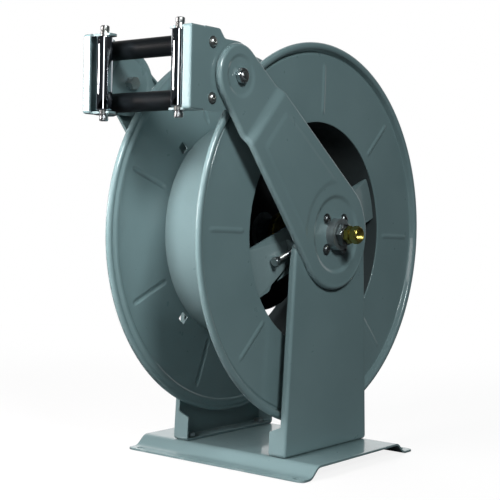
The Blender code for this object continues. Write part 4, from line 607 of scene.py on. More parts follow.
def ribRise(s, radius, angle, ribAngle, height):
    # rounded bar along a radius: the height falls smoothly with the distance from its middle line
    sector = math.pi / 4
    away = (angle - ribAngle + sector / 2) % sector - sector / 2
    along, across = radius * np.cos(away), radius * np.sin(away)
    half = s["ribWidth"] / 2
    beyond = np.maximum(np.maximum(s["ribInner"] + half - along, along - s["ribOuter"] + half), 0.0)
    distance = np.hypot(across, beyond)
    return height * smooth((half - distance) / (half * 0.9))


def squareHoles(s, first):
    # four rounded square tubes through the far disc, each drawn to a point at both ends
    half = s["holeSize"] / 2
    square = roundCorners([(-half, -half), (half, -half), (half, half), (-half, half)], s["holeCorner"], 4, True)
    low, high = -s["face"] - s["holeReach"], -s["face"] + s["holeReach"]
    shells = []
    for index in range(4):
        at = turnPoints(square + (s["holeRadius"], 0.0), first + index * math.pi / 2)
        cap = np.tile(at.mean(0), (len(at), 1))
        points = np.concatenate([withX(cap, low), withX(at, low), withX(at, high), withX(cap, high)])
        shells.append((points + drum, gridFaces(4, len(at), False, True)))
    return joinShells(*shells)


def makeDisc(side, name):
    # the section carried round the drum, with more columns where the eight ribs are
    s = discSettings
    ribAngle, reach, sector = s["ribAngles"][side], s["ribReach"], math.pi / 4
    near = np.linspace(-reach, reach, s["ribColumns"])
    wide = np.linspace(reach, sector - reach, s["plainColumns"])[1:-1]
    angle = (np.concatenate([near, wide])[None] + (sector * np.arange(8))[:, None]).ravel() + ribAngle
    section = discSection(s)
    radius, x = section[:, 0:1], section[:, 1:2]
    height = x + ribRise(s, radius, angle[None], ribAngle, s["ribHeights"][side])
    flat = np.stack([radius * np.cos(angle)[None], radius * np.sin(angle)[None]], -1)
    shell = withX(flat, height).reshape(-1, 3), gridFaces(len(section), len(angle), True, True)
    holes = squareHoles(s, ribAngle + sector / 2) if side < 0 else None
    putPiece("disc_" + name, placed(shell, drum, side), "drum", "grey_enamel", holes=holes)


drumSettings = {
    "radius": 0.162, "wall": 0.002, "half": 0.0749,
    "outletAngle": math.radians(-35.0), "outletX": 0.026, "outletHole": 0.0100, "outletCut": (0.14, 0.18),
    "spiderX": 0.070, "spiderSheet": 0.004, "spiderHalf": 0.032, "spiderFlare": 0.039, "spiderStart": 0.120,
    "spiderAngle": math.radians(20.0), "spiderCorner": 0.003, "spiderEdge": 0.0006, "spacing": 0.004,
    "hubRadius": 0.0285, "hubFlange": 0.044, "hubSheet": 0.004, "hubLength": 0.0155, "seat": 0.0256,
    "seatLip": 0.002, "seatDepth": 0.0135, "bearing": (0.0204, 0.0253, 0.012), "shield": (0.0016, 0.0018, 0.0008),
}


def makeBarrel():
    s = drumSettings
    rows = steppedRows(s["radius"] - s["wall"], (-s["half"], s["half"], s["radius"]))
    hole = drill(drum + (s["outletX"], 0.0, 0.0), spoke(s["outletAngle"]), *s["outletCut"], s["outletHole"], 32)
    putPiece("barrel", lathe(rows, drum, count=200, closed=True), "drum", "grey_enamel", holes=hole,
             finish=barrelEnamelShadedInside)


def makeSpider(side, name):
    # bar across the barrel: the ends follow the barrel's inner wall, one end is flared
    s = drumSettings
    radius, half, flare, start = s["radius"] - s["wall"] - gap, s["spiderHalf"], s["spiderFlare"], -s["spiderStart"]
    narrow, broad = math.asin(half / radius), math.asin(flare / radius)
    outline = np.concatenate([arcPoints(radius, -narrow, narrow, 24),
                              arcPoints(radius, math.pi - narrow, math.pi + broad, 24),
                              [(start - (flare - half), -flare), (start, -half)]])
    outline = spread(roundCorners(outline, s["spiderCorner"], 3, True), s["spacing"], True)
    shell = plateShell(turnPoints(outline, s["spiderAngle"]), s["spiderX"] - s["spiderSheet"], s["spiderX"],
                       s["hubRadius"] + 0.0002, s["spiderEdge"])
    putPiece("spider_" + name, placed(shell, drum, side), "drum", "grey_enamel")


def makeHub(side, name):
    # welded sleeve with its flange and a lip that keeps the sealed bearing in
    s = drumSettings
    line = (side, 0.0, 0.0)
    high = s["spiderX"] - s["spiderSheet"] - gap
    low = high - s["hubSheet"]
    end, seat, lip = low + s["hubLength"], s["seat"], s["seatLip"]
    rows = [(low, seat), (low, s["hubFlange"]), (high, s["hubFlange"]), (high, s["hubRadius"]),
            (end, s["hubRadius"]), (end, seat - lip), (end - lip, seat - lip), (end - lip, seat)]
    putPiece("hub_" + name, lathe(rows, drum, line, corner=0.0006, closed=True), "drum", "steel")
    inner, outer, width = s["bearing"]
    ring, cut, deep = s["shield"]
    face = low + s["seatDepth"] - gap
    rows = [(face - width, inner), (face - width, outer), (face, outer), (face, outer - ring),
            (face - deep, outer - cut), (face - deep, inner + cut), (face, inner + ring), (face, inner)]
    bearing = lathe(rows, drum, line, corner=0.0002, closed=True)
    putPiece("bearing_" + name, bearing, "drum", "zinc_plate")


def makeDrum():
    for side, name in sides:
        makeDisc(side, name)
        makeSpider(side, name)
        makeHub(side, name)
    makeBarrel()
    print("drum made")


# Spring case, swivel and outlet

caseSettings = {
    "radius": 0.118, "wall": 0.002, "mouth": 0.046, "start": 0.0657, "width": 0.042, "bore": 0.0307,
    "arborStart": 0.004, "arborBore": 0.0203, "arborRadius": 0.030,
}


def makeCase():
    s = caseSettings
    line = (-1.0, 0.0, 0.0)
    start, outer, wall = s["start"], s["radius"], s["wall"]
    end = start - s["width"]
    rows = [(start, s["mouth"]), (start, outer), (end, outer), (end, outer - wall), (start - wall, outer - wall),
            (start - wall, s["mouth"])]
    # case and cover in near black zinc: painted shade for the inside of the drum
    putPiece("spring_case", lathe(rows, drum, line, 160, 0.0015, True), "drum", "zinc_plate", finish=zincPaintedShade)
    cover = end - gap
    rows = steppedRows(s["bore"], (cover, cover - wall, outer))
    putPiece("spring_cover", lathe(rows, drum, line, 160, 0.0006, True), "drum", "zinc_plate", finish=zincPaintedShade)
    rows = steppedRows(s["arborBore"], (start - wall - s["arborStart"], cover - wall, s["arborRadius"]))
    putPiece("spring_arbor", lathe(rows, drum, line, closed=True), "frame", "steel")


outletSettings = {
    "swivel": [(0.009, 0.0285), (0.010, 0.030), (0.018, 0.030), (0.020, 0.028), (0.020, 0.0204)],
    "pipe": [(0.0303, 0.0065), (0.0303, 0.0135), (0.0383, 0.0135), (0.0383, 0.0095), (0.158, 0.0095)],
    "thread": (0.1585, 0.175, 0.0095, 0.0018), "pipeEnd": [(0.176, 0.0085), (0.176, 0.0065)],
    "nutFlats": 0.027, "nutHeight": 0.012, "nutBore": 0.0098, "nutPlay": 0.0005,
}


def makeOutlet():
    s, d = outletSettings, drumSettings
    place, direction = drum + (d["outletX"], 0.0, 0.0), spoke(d["outletAngle"])
    putPiece("swivel_body", lathe(bothEnds(s["swivel"]), place, closed=True), "drum", "brass")
    rows = s["pipe"] + threadRows(*s["thread"]) + s["pipeEnd"]
    putPiece("outlet_pipe", lathe(rows, place, direction, 72, 0.0003, True), "drum", "steel")
    # the nut's corners, flats / sqrt(3) from its middle, just clear the barrel's inner wall
    wall = math.sqrt((d["radius"] - d["wall"] - s["nutPlay"]) ** 2 - s["nutFlats"] ** 2 / 3) - gap
    nut = hexNut(s["nutFlats"], wall - s["nutHeight"], wall, s["nutBore"], place, direction)
    putPiece("outlet_lock_nut", nut, "drum", "steel")


clampSettings = {
    "x": 0.079, "angle": math.radians(200.0), "flats": 0.012, "seat": 0.1085, "top": 0.114, "nutLow": 0.0572,
    "nutHigh": 0.0637, "radius": 0.004, "nutBore": 0.0041, "tip": 0.0545, "turn": 0.2, "thread": 0.050,
}


def makeClamp():
    # the bolt that clamps the hose's end lies along a radius in front of the near spider
    s = clampSettings
    place, direction = drum + (s["x"], 0.0, 0.0), spoke(s["angle"])
    bolt = hexBolt(s["flats"], s["seat"], s["top"], s["radius"], s["tip"], place, direction, s["turn"], s["thread"])
    putPiece("clamp_bolt", bolt, "drum", "zinc_plate")
    nut = hexNut(s["flats"], s["nutLow"], s["nutHigh"], s["nutBore"], place, direction, s["turn"])
    putPiece("clamp_nut", nut, "drum", "zinc_plate")


# Axle, lock nuts and inlet

axleSettings = {
    "radius": 0.020, "shoulder": 0.086, "endRadius": 0.0125, "threadStart": 0.120, "pitch": 0.0015, "end": 0.128,
    "bevel": 0.001, "boreRadius": 0.008, "boreEnd": 0.016, "flangeBore": 0.0129, "sleeve": 0.026, "flange": 0.048,
    "flangeSheet": 0.006, "flangeFace": 0.0997, "boltCircle": 0.039, "boltFlats": 0.013, "boltRadius": 0.004,
    "boltHead": (0.0001, 0.0036), "boltTip": 0.1027,
}


def makeAxle():
    # the shaft with its shoulders and threads, bored from the near end, then the two bolted flanges
    s = axleSettings
    shoulder, end, radius, bore = s["shoulder"], s["end"], s["endRadius"], s["boreRadius"]
    start = s["threadStart"]
    half = [(shoulder, s["radius"]), (shoulder, radius), (start, radius)]
    half += threadRows(start + 0.0005, end - 0.0007, radius, s["pitch"]) + [(end, radius - s["bevel"])]
    rows = [(-end, 0.0), *bothEnds(half), (end, bore), (s["boreEnd"], bore), (s["boreEnd"], 0.0)]
    putPiece("axle", lathe(rows, axle, corner=0.0002), "frame", "steel")
    for side, name in sides:
        line = (side, 0.0, 0.0)
        high = s["flangeFace"]
        plate = high - s["flangeSheet"]
        rows = steppedRows(s["flangeBore"], (shoulder + gap, plate, s["sleeve"]), (plate, high, s["flange"]))
        seat, top = [plate - fall for fall in s["boltHead"]]
        bolts = [hexBolt(s["boltFlats"], seat, top, s["boltRadius"], s["boltTip"], spot, line)
                 for spot in boltPlaces(s["boltCircle"])]
        shell = joinShells(lathe(rows, axle, line, corner=0.0007, closed=True), *bolts)
        putPiece("axle_flange_" + name, shell, "frame", "steel")


inletSettings = {
    "lockFlats": 0.030, "lockLow": 0.1203, "lockHigh": 0.129, "lockBore": 0.0128, "flats": 0.022, "start": 0.1293,
    "firstHex": 0.008, "groove": 0.002, "secondHex": 0.0115, "edge": 0.0006, "neck": 0.44, "seat": 0.46,
    "nose": (0.0026, 0.0010, 0.50, 0.465), "socket": 0.0085, "socketDepth": 0.011, "pitch": 0.0014,
    "bore": 0.0065, "shank": 0.0077, "shankLength": 0.012,
}


def makeInlet():
    # two hexagons with a groove between them, and a threaded socket; neck, seat and nose are shares of
    # the flats
    s = inletSettings
    for side, name in sides:
        nut = hexNut(s["lockFlats"], s["lockLow"], s["lockHigh"], s["lockBore"], axle, (side, 0.0, 0.0))
        putPiece("lock_nut_" + name, nut, "frame", "zinc_plate", finish=darkSteel)
    flats, start, edge, bore = s["flats"], s["start"], s["edge"], s["bore"]
    first = start + s["firstHex"]
    second = first + s["groove"]
    end = second + s["secondHex"]
    neck, shank, tail, socket = flats * s["neck"], s["shank"], start - s["shankLength"], s["socket"]
    bottom = end - s["socketDepth"]
    fall, face, wide, tip = s["nose"]
    rows = [(tail, bore), (tail, shank), (start, shank), (start, flats * s["seat"], flats),
            (start + edge, flats, flats), (first - edge, flats, flats), (first, neck, flats),
            (second, neck, flats), (second + edge, flats, flats), (end - fall, flats, flats),
            (end - face, flats * wide, flats), (end, flats * tip), (end, socket + 0.0008), (end - 0.0008, socket)]
    rows += threadRows(end - 0.0012, bottom + 0.0005, socket + gap, s["pitch"])
    rows += [(bottom, socket), (bottom, bore)]
    shell = lathe(rows, axle, count=144, corner=0.00025, closed=True, turn=math.radians(30.0))
    putPiece("inlet_fitting", shell, "frame", "brass")
    print("axle and inlet made")


# Base and pedestals

baseSettings = {
    "height": 0.0176, "sheet": 0.003, "halfLength": 0.160, "halfWidth": 0.1405, "rearExtra": 0.0065,
    "foot": 0.0205, "slope": 0.0165, "bend": 0.006, "corner": 0.008, "spacing": 0.0025, "columns": 96,
    "rim": 0.0005, "holeRadius": 0.0045, "holeInsetX": 0.017, "holeInsetY": 0.0095, "holeCut": (-0.02, 0.03),
    "boltX": 0.087, "boltY": 0.083, "boltFlats": 0.013, "boltRadius": 0.004, "boltHead": (0.0038, 0.0091),
    "boltTurn": 0.3, "nutBore": 0.0044, "nutHeight": 0.0065,
}
pedestalSettings = {
    "face": 0.103, "sheet": 0.003, "footHalf": 0.1035, "headHalf": 0.086, "topRadius": 0.078,
    "shoulder": -0.012, "shoulderRise": 0.018, "flange": 0.0098, "footFlange": 0.028, "footHeight": 0.034,
    "chamfer": 0.0075, "bend": 0.0042, "corner": 0.0015, "spacing": 0.0016, "base": 0.0179, "hole": 0.0129,
    "rim": 0.0005, "endRound": 0.045, "endDrop": 0.0054,
}


def makePedestal(side, name):
    # the web fills the fold line, star-like from the axle's hole; the skirt runs down one edge, along the
    # bottom and up the other, with deep feet and ends that round off to the web
    s = pedestalSettings
    face, bend, shoulder = s["face"], s["bend"], s["shoulder"]
    low = s["base"] - axle[2]
    slope = (s["footHalf"] - s["headHalf"]) / (axle[2] - baseSettings["height"])

    def halfAt(z):
        return s["headHalf"] - slope * z

    sideLine = [(halfAt(shoulder) - bend, shoulder), (halfAt(low) - bend, low + bend)]
    fold = np.array([*sideLine, *[(-y, z) for y, z in reversed(sideLine)]])
    fold = spread(roundCorners(fold, s["corner"], 8), s["spacing"])
    start = math.atan2(s["shoulderRise"], halfAt(shoulder))
    outline = np.concatenate([fold, arcPoints(s["topRadius"], math.pi - start, start, 90)])
    web = webShell(starFill(outline, np.zeros(2), s["hole"], 28), face)
    footTop = low + s["footHeight"]
    depths = np.interp(fold[:, 1], [footTop, footTop + s["chamfer"]], [s["footFlange"], s["flange"]])
    near = np.clip(1.0 - (shoulder - fold[:, 1]) / s["endRound"], 0.0, 1.0)
    depths = depths - s["endDrop"] * (1.0 - np.sqrt(1.0 - near ** 2))
    shell = joinShells(web, foldSkirt(fold, -outwardOf(fold), face, bend, depths))
    putPiece("pedestal_" + name, placed(shell, axle, side), "frame", "grey_enamel", s["sheet"],
             (side, 0.0, 0.0), rim=s["rim"])


def makeBase():
    # hat-shaped line across the width, carried along X; the length falls in a round at each foot's corners
    s = baseSettings
    sheet, height, corner = s["sheet"], s["height"], s["corner"]
    foot, top = s["halfWidth"] - s["foot"], s["halfWidth"] - s["foot"] - s["slope"]
    front, rear = -s["halfWidth"], s["halfWidth"] + s["rearExtra"]
    line = [(front, sheet), (-foot, sheet), (-top, height), (top, height), (foot, sheet), (rear, sheet)]
    line = spread(roundCorners(line, s["bend"], 8), s["spacing"])
    short = np.maximum(corner - np.minimum(line[:, 0] - front, rear - line[:, 0]), 0.0)
    length = s["halfLength"] - corner + np.sqrt(np.maximum(corner ** 2 - short ** 2, 0.0))
    share = np.linspace(-1.0, 1.0, s["columns"])
    across = np.repeat(line[:, None], s["columns"], 1)
    shell = withX(across, share[None] * length[:, None]).reshape(-1, 3), gridFaces(len(line), s["columns"])
    place = np.array([axle[0], axle[1], 0.0])
    holes = [drill(place + (x * (s["halfLength"] - s["holeInsetX"]), y, 0.0), zAxis, *s["holeCut"], s["holeRadius"], 40)
             for x in (-1, 1) for y in (front + s["holeInsetY"], rear - s["holeInsetY"])]
    putPiece("base_plate", placed(shell, place), "frame", "grey_enamel", sheet, zAxis, joinShells(*holes),
             s["rim"])
    nuts = []
    under = height - sheet
    tip = under - s["nutHeight"]
    seat, head = [height + rise for rise in s["boltHead"]]
    for x, sideName in ((-1, "far"), (1, "near")):
        for y, endName in ((-1, "front"), (1, "rear")):
            spot = place + (x * s["boltX"], y * s["boltY"], 0.0)
            nuts.append(hexNut(s["boltFlats"], tip, under - 0.0001, s["nutBore"], spot, zAxis))
            bolt = hexBolt(s["boltFlats"], seat, head, s["boltRadius"], tip, spot, zAxis, s["boltTurn"] + y)
            putPiece("base_bolt_" + sideName + "_" + endName, bolt, "frame", "zinc_plate")
    putPiece("weld_nuts", joinShells(*nuts), "frame", "grey_enamel", stands=False)
    print("base and pedestals made")


# Guide arms

armSettings = {
    "length": 0.2975, "angle": math.radians(136.8), "face": 0.111, "upperFace": 0.1045, "sheet": 0.003,
    "depth": 0.0075, "hubRadius": 0.0795, "endRadius": 0.042, "fold": 0.005, "joggleStart": 0.222,
    "joggleLength": 0.016, "dishRadius": 0.057, "dishInner": 0.050, "dishDepth": 0.003,
    "panelStart": 0.074, "panelEnd": 0.205, "panelMargin": 0.020, "panelRise": 0.0010, "panelEdge": 0.008,
    "panelCorner": 0.0022, "panelSpread": 0.35, "pivotRadius": 0.029, "pivotInner": 0.023, "pivotDepth": 0.0015,
    "bossHole": 0.0228, "pivotHole": 0.0062, "holeCut": (0.09, 0.125), "rim": 0.0004, "crease": 40.0,
    "hubColumns": 140, "endColumns": 64, "sideColumns": 130, "rows": 64,
}


def armHeight(s, along, across, lean):
    # face of the arm: joggle, hub dish, raised panel and pivot dish, each a smooth step of a distance; the
    # panel's distance is the soft least of those to its four walls, -log(sum of exp(-k * wall)) / k
    drop = (s["face"] - s["upperFace"]) * smooth((along - s["joggleStart"]) / s["joggleLength"])
    reach = np.hypot(along, across)
    drop = drop + s["dishDepth"] * smooth((s["dishRadius"] - reach) / (s["dishRadius"] - s["dishInner"]))
    end = np.hypot(along - s["length"], across)
    drop = drop + s["pivotDepth"] * smooth((s["pivotRadius"] - end) / (s["pivotRadius"] - s["pivotInner"]))
    half = s["hubRadius"] / math.cos(lean) - along * math.tan(lean) - s["panelMargin"]
    k = 1 / s["panelCorner"]
    walls = [reach - s["panelStart"], s["panelEnd"] - along, half - across, half + across]
    inside = -np.log(sum(np.exp(-k * np.clip(wall, -0.05, 0.05)) for wall in walls)) / k
    return s["face"] - drop + s["panelRise"] * smooth(inside / s["panelEdge"] + s["panelSpread"])


def makeArm(side, name):
    # tapered capsule: centres run along the arm's middle line, and each point lies at a share of the way
    # from its centre to the fold; the folded edge follows the same centres and directions
    s = armSettings
    fold, line = s["fold"], (side, 0.0, 0.0)
    lean = math.asin((s["hubRadius"] - s["endRadius"]) / s["length"])
    rise = math.pi / 2 - lean
    hubArc = np.linspace(rise, 2 * math.pi - rise, s["hubColumns"])
    endArc = np.linspace(-rise, rise, s["endColumns"])
    straight = np.linspace(0.0, 1.0, s["sideColumns"])[1:-1]
    direction = np.concatenate([hubArc, np.full(len(straight), -rise), endArc, np.full(len(straight), rise)])
    share = np.concatenate([np.zeros(len(hubArc)), straight, np.ones(len(endArc)), straight[::-1]])
    radius = s["hubRadius"] + (s["endRadius"] - s["hubRadius"]) * share
    unit = np.stack([np.cos(direction), np.sin(direction)], -1)
    centre = np.stack([s["length"] * share, np.zeros(len(share))], -1)
    rows = np.linspace(0.0, 1.0, s["rows"])[:, None]
    flat = centre[None] + (rows * (radius - fold)[None])[..., None] * unit[None]
    face = armHeight(s, flat[..., 0], flat[..., 1], lean)
    angle = np.linspace(0.0, math.pi / 2, 8)[1:]
    fall = np.concatenate([fold * (1 - np.cos(angle)), [s["depth"] * 0.84, s["depth"]]])
    inset = np.concatenate([fold * (1 - np.sin(angle)), [0.0, 0.0]])
    skirt = centre[None] + (radius[None] - inset[:, None])[..., None] * unit[None]
    plane = turnPoints(np.concatenate([flat, skirt]).reshape(-1, 2), s["angle"])
    x = np.concatenate([face, face[-1][None] - fall[:, None]])
    shell = withX(plane, x.ravel()), gridFaces(len(x), len(share), False, True)
    holes = [drill(place, line, *s["holeCut"], radius, 64)
             for place, radius in ((axle, s["bossHole"]), (axle + s["length"] * spoke(s["angle"]), s["pivotHole"]))]
    putPiece("guide_arm_" + name, placed(shell, axle, side), "arms", "grey_enamel", s["sheet"], line,
             joinShells(*holes), s["rim"], s["crease"])


hubSettings = {
    "plateRadius": 0.037, "low": 0.1035, "high": 0.1047, "bossRadius": 0.0225, "top": 0.120, "bore": 0.0128,
    "screwCircle": 0.0305, "screwShank": 0.003, "seat": 0.1083, "washer": (-0.0002, 0.0006, 0.0080),
    "washerBore": 0.0031, "screwRim": 0.0008, "screwTurn": 0.4,
    "screw": {"radius": 0.0065, "height": 0.0045, "dome": ((0.55, 0.93), (0.88, 0.68), (1.0, 0.42)),
              "socket": (0.0021, 0.0036, 0.0022)},
}


def makeArmHub(side, name):
    s = hubSettings
    line, seat, high = (side, 0.0, 0.0), s["seat"], s["high"]
    rows = steppedRows(s["bore"], (s["low"], high, s["plateRadius"]), (high, s["top"], s["bossRadius"]))
    shell = lathe(rows, axle, line, 128, 0.0007, True)
    low, top, wide = s["washer"]
    shank, head = s["screwShank"], s["screw"]["radius"]
    screw = [(high, 0.0), (high, shank), (seat + low, shank), (seat + low, head), (seat + s["screwRim"], head)]
    screw += domeRows(seat, s["screw"])
    washer = steppedRows(s["washerBore"], (seat + low, seat + top, wide))
    screws = []
    for index, spot in enumerate(boltPlaces(s["screwCircle"])):
        screws.append(lathe(screw, spot, line, 48, 0.0003, False, s["screwTurn"] + index))
        screws.append(lathe(washer, spot, line, 48, 0.0002, True))
    putPiece("arm_hub_" + name, shell, "arms", "steel")
    putPiece("hub_screws_" + name, joinShells(*screws), "arms", "steel", finish=darkSteel, stands=False)


# Mouth

headSettings = {
    "face": 0.095, "sheet": 0.003, "front": 0.088, "back": 0.033, "halfHeight": 0.0525, "middle": 0.004,
    "tongue": 0.045, "flange": 0.013, "lugReach": 0.042, "lugLength": 0.026, "lugCorner": 0.009, "lugStart": 0.007,
    "bend": 0.0026, "neck": 0.010, "corner": 0.0012, "spacing": 0.0012, "webCorner": 0.003, "webSpacing": 0.0015,
    "webMiddle": -0.040, "padRise": 0.002, "padMargin": 0.006, "padEdge": 0.004, "rim": 0.0004, "pinHole": 0.0063,
}
rollerSettings = {
    "sideX": 0.066, "sideY": -0.07825, "sideRadius": 0.0107, "sideBevel": 0.001, "sideBore": 0.0064,
    "pinRadius": 0.006, "pinEnd": 0.010, "pinBevel": 0.001,
    "pinGroove": ((0.002, 0.0), (0.0025, 0.0006), (0.0035, 0.0006), (0.004, 0.0)),
    "crossAhead": 0.0465, "crossSpacing": 0.070, "crossDrop": 0.001, "crossRadius": 0.0130, "crossBevel": 0.0015,
    "crossBore": 0.0063, "crossAxle": 0.006, "play": 0.0012, "screwShank": 0.003, "washer": (0.0007, 0.0018),
    "screw": {"radius": 0.0058, "height": 0.004, "dome": ((0.6, 0.9), (0.9, 0.65), (1.0, 0.4)),
              "socket": (0.0020, 0.0034, 0.0020)},
}


def pinPlace(side):
    s, r = headSettings, rollerSettings
    return pivot + (drum[0] + side * r["sideX"], r["sideY"], s["middle"])


def makeHeadPlate(side, name):
    # web filled star-like from a point in its middle, with the lugs and the front flange as one skirt
    s = headSettings
    front, back, bend, middle = -s["front"], -s["back"], s["bend"], s["middle"]
    top, low, tongue = middle + s["halfHeight"], middle - s["halfHeight"], s["tongue"]
    lugEnd, neck, corner = front + s["lugLength"], back + s["neck"], s["lugCorner"]
    fold = [(lugEnd, top - bend), (front + bend, top - bend), (front + bend, low + bend), (lugEnd, low + bend)]
    fold = spread(roundCorners(fold, s["corner"], 8), s["spacing"])
    rest = np.concatenate([[(lugEnd + 0.0001, low), (back, low), (neck, -tongue)],
                           arcPoints(tongue, -math.pi / 2, math.pi / 2, 60),
                           [(neck, tongue), (back, top), (lugEnd + 0.0001, top)]])
    rest = spread(roundCorners(rest, s["webCorner"], 4), s["webSpacing"])
    web = starFill(np.concatenate([fold, rest]), np.array([s["webMiddle"], middle]), 0.0, 44)
    pad = tongue - s["padMargin"] - np.hypot(web[..., 0], web[..., 1])
    webPart = webShell(web, s["face"] + s["padRise"] * smooth(pad / s["padEdge"]))
    short = np.clip(corner - np.minimum(fold[:, 0] - front, lugEnd - fold[:, 0] + 0.0002), 0.0, corner)
    lug = s["lugReach"] - corner + np.sqrt(corner ** 2 - short ** 2)
    onLug = np.abs(fold[:, 1] - middle) > s["halfHeight"] - bend - 0.0006
    depths = np.where(onLug & (fold[:, 0] > front + s["lugStart"]), lug, s["flange"])
    shell = joinShells(webPart, foldSkirt(fold, outwardOf(fold), s["face"], bend, depths, 20))
    reach = s["halfHeight"] + 0.01
    hole = drill(pinPlace(side), zAxis, -reach, reach, s["pinHole"], 48)
    putPiece("head_plate_" + name, placed(shell, pivot, side), "head", "grey_enamel", s["sheet"],
             (side, 0.0, 0.0), hole, s["rim"])


def makeRollers():
    # side rollers on their pins, then cross rollers on axles with a screw and a washer at each end
    s, r = headSettings, rollerSettings
    top, pin, bevel = s["halfHeight"], r["pinRadius"], r["pinBevel"]
    end = top + r["pinEnd"]
    pinRows = [(top + up, pin - deep) for up, deep in r["pinGroove"]]
    pinRows = bothEnds(pinRows + [(end - bevel, pin), (end, pin - bevel), (end, 0.0)])
    sideRows = rollerRows(top - s["sheet"] - r["play"], r["sideBore"], r["sideRadius"], r["sideBevel"])
    for side, name in sides:
        spot = pinPlace(side)
        putPiece("side_roller_pin_" + name, lathe(pinRows, spot, zAxis, 64, 0.0002), "head", "zinc_plate")
        putPiece("side_roller_" + name, lathe(sideRows, spot, zAxis, 96, 0.0003, True),
                 "side_roller_" + name, "chrome")
    half, seat, shank, head = s["face"] - s["sheet"] - gap, s["face"] + gap, r["screwShank"], r["screw"]["radius"]
    thick, wide = r["washer"]
    axleRows = [(half, r["crossAxle"]), (half, shank), (seat, shank), (seat, head + wide),
                (seat + thick, head + wide), (seat + thick, head), (seat + 2 * thick, head)]
    axleRows = bothEnds(axleRows + domeRows(seat, r["screw"]))
    crossRows = rollerRows(half - r["play"], r["crossBore"], r["crossRadius"], r["crossBevel"])
    for name, sign in (("upper", 1), ("lower", -1)):
        spot = pivot + (0.0, -r["crossAhead"], s["middle"] - r["crossDrop"] + sign * r["crossSpacing"] / 2)
        putPiece("cross_axle_" + name, lathe(axleRows, spot, count=72, corner=0.0003), "head", "steel", finish=zinc)
        putPiece("cross_roller_" + name, lathe(crossRows, spot, corner=0.0005, closed=True),
                 "cross_roller_" + name, "black_plastic")


pivotSettings = {
    "nutFlats": 0.019, "nutWidth": 0.0065, "nutBore": 0.0062, "threadEnd": 0.0022, "headFlats": 0.0165,
    "headHeight": 0.012, "boltRadius": 0.006, "spacerRadius": 0.020, "spacerBore": 0.0063,
}


def makePivots():
    s, a, h = pivotSettings, armSettings, headSettings
    dish, pad = a["upperFace"] - a["pivotDepth"], h["face"] + h["padRise"]
    nutLow, nutHigh, seat = dish + gap, dish + gap + s["nutWidth"], pad - h["sheet"] - gap
    rows = steppedRows(s["spacerBore"], (pad + gap, dish - a["sheet"] - gap, s["spacerRadius"]))
    for side, name in sides:
        line = (side, 0.0, 0.0)
        putPiece("pivot_spacer_" + name, lathe(rows, pivot, line, corner=0.0003, closed=True), "arms",
                 "zinc_plate")
        nut = hexNut(s["nutFlats"], nutLow, nutHigh, s["nutBore"], pivot, line)
        putPiece("pivot_nut_" + name, nut, "arms", "zinc_plate")
        bolt = hexBolt(s["headFlats"], seat, seat - s["headHeight"], s["boltRadius"], nutHigh + s["threadEnd"],
                       pivot, line)
        putPiece("pivot_bolt_" + name, bolt, "arms", "zinc_plate")


def makeArms():
    for side, name in sides:
        makeArm(side, name)
        makeArmHub(side, name)
    makePivots()
    print("guide arms made")


def makeMouth():
    for side, name in sides:
        makeHeadPlate(side, name)
    makeRollers()
    print("mouth made")


def dressFrame():
    # CAD nodes that stay take the finish of their slot
    kept = []
    for part in frame["record"]["subparts"]:
        node = frame["nodes"][part["node"]]
        if not node.hide_render:
            node.data.materials.clear()
            node.data.materials.append(slotFinishes[part["material_slot"]])
            kept.append(part["node"])
    print("CAD nodes kept:", ", ".join(kept))


# Studio

studioSettings = {
    "lamps": {
        "key": {"at": (-0.06, -0.84, 0.60), "size": (0.30, 0.50), "power": 11.8, "color": (1.0, 0.955, 0.95),
                "glossy": False},
        "side": {"at": (1.74, -1.12, 1.60), "size": (0.5, 0.5), "power": 37.0, "color": (0.95, 1.0, 1.0)},
        "low": {"at": (-1.46, -1.70, 0.80), "size": (0.34, 0.50), "power": 14.0, "color": (1.0, 0.91, 0.88)},
        "line": {"at": (0.50, -1.10, 0.66), "size": (0.20, 0.6), "power": 1.3, "color": (1.0, 1.0, 1.0)},
        "back": {"at": (-1.3, 1.8, 1.6), "size": (1.4, 1.2), "power": 62.0, "color": (1.0, 1.0, 1.0),
                 "glossy": False},
    },
    "aim": (0.0, 0.0, 0.32),
    "ambient": (0.014, 0.015, 0.016, 1.0),
    "reflected": ((0.02, 0.022, 0.025, 1.0), white),
    "brightSide": (-0.617, 0.786, 0.0),
    "brightRange": (0.45, 0.90),
    "floor": {"half": 12.0, "z": -0.0004, "seen": (0.80, 0.80, 0.80, 1.0), "bounce": (0.05, 0.052, 0.055, 1.0),
              "shadow": 0.14, "shadowReach": (0.7, 1.8)},
}


def makeLamps(s):
    # the camera sees none of them, and glossy surfaces don't show the key and back lamps
    for name, settings in s["lamps"].items():
        lamp = bpy.data.lights.new(name, "AREA")
        lamp.shape = "RECTANGLE"
        lamp.size, lamp.size_y = settings["size"]
        lamp.energy = settings["power"]
        lamp.color = settings["color"]
        holder = addObject(name, lamp)
        holder.matrix_world = turnedTo(np.subtract(settings["at"], s["aim"]), zAxis, settings["at"])
        holder.visible_camera = False
        holder.visible_glossy = settings.get("glossy", True)


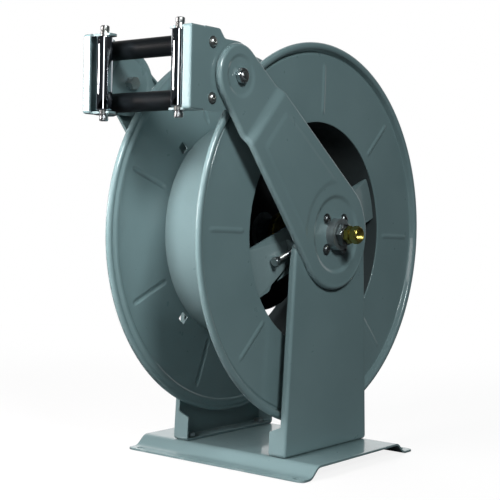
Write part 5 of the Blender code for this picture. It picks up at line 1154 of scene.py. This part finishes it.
def makeWorld(s):
    # white to the camera and through clear things, a soft dim light to the pieces, and to their
    # reflections the white backdrop in a dark studio
    world = bpy.data.worlds.new("studio")
    bpy.context.scene.world = world
    world.use_nodes = True
    world.node_tree.nodes.clear()
    nodes = Nodes(world.node_tree)
    path = nodes.add("ShaderNodeLightPath").outputs
    direction = nodes.add("ShaderNodeTexCoord").outputs["Generated"]
    side = np.array(s["brightSide"]) / np.linalg.norm(s["brightSide"])
    toward = nodes.amount("ShaderNodeVectorMath", {"operation": "DOT_PRODUCT"},
                          {0: direction, 1: side.tolist()}, "Value")
    room = nodes.between(nodes.step(toward, *s["brightRange"]), *s["reflected"])
    lit = nodes.between(path["Is Glossy Ray"], s["ambient"], room)
    seen = nodes.amount("ShaderNodeMath", {"operation": "MAXIMUM"},
                        {0: path["Is Camera Ray"], 1: path["Is Transmission Ray"]})
    light = nodes.add("ShaderNodeBackground", {}, {"Color": nodes.between(seen, lit, white)})
    nodes.add("ShaderNodeOutputWorld", {}, {"Surface": light.outputs[0]})


def makeFloor(s):
    # the camera sees white that keeps a share of the real floor, and so the shadow, near the reel
    half, z = s["half"], s["z"]
    points = np.array([(-half, -half, z), (half, -half, z), (half, half, z), (-half, half, z)])
    floor = addMesh("floor", (points, np.array([[0, 1, 2, 3]])))
    finish = Finish("floorPaint", {"Roughness": 0.9, "Specular IOR Level": 0.0})
    camera = finish.amount("ShaderNodeLightPath", output="Is Camera Ray")
    finish.set({"Base Color": finish.between(camera, s["bounce"], s["seen"])})
    away = finish.amount("ShaderNodeVectorMath", {"operation": "LENGTH"}, {0: finish.place}, "Value")
    real = s["shadow"] - s["shadow"] * finish.step(away, *s["shadowReach"])
    glow = finish.add("ShaderNodeEmission", {}, {"Color": white, "Strength": 1.0})
    mix = finish.add("ShaderNodeMixShader", {}, {0: camera * (1.0 - real), 1: finish.shader.outputs[0],
                                                2: glow.outputs[0]})
    finish.feed(finish.tree.nodes["Material Output"].inputs["Surface"], mix.outputs[0])
    floor.data.materials.append(finish.material)


def makeStudio(s):
    bpy.context.scene.view_settings.view_transform = "Standard"
    makeLamps(s)
    makeWorld(s)
    makeFloor(s["floor"])
    print("studio made")


makeCamera(cameraSettings)
makeStudio(studioSettings)
makeDrum()
makeCase()
makeOutlet()
makeClamp()
makeAxle()
makeInlet()
for side, name in sides:
    makePedestal(side, name)
makeBase()
makeArms()
makeMouth()
dressFrame()
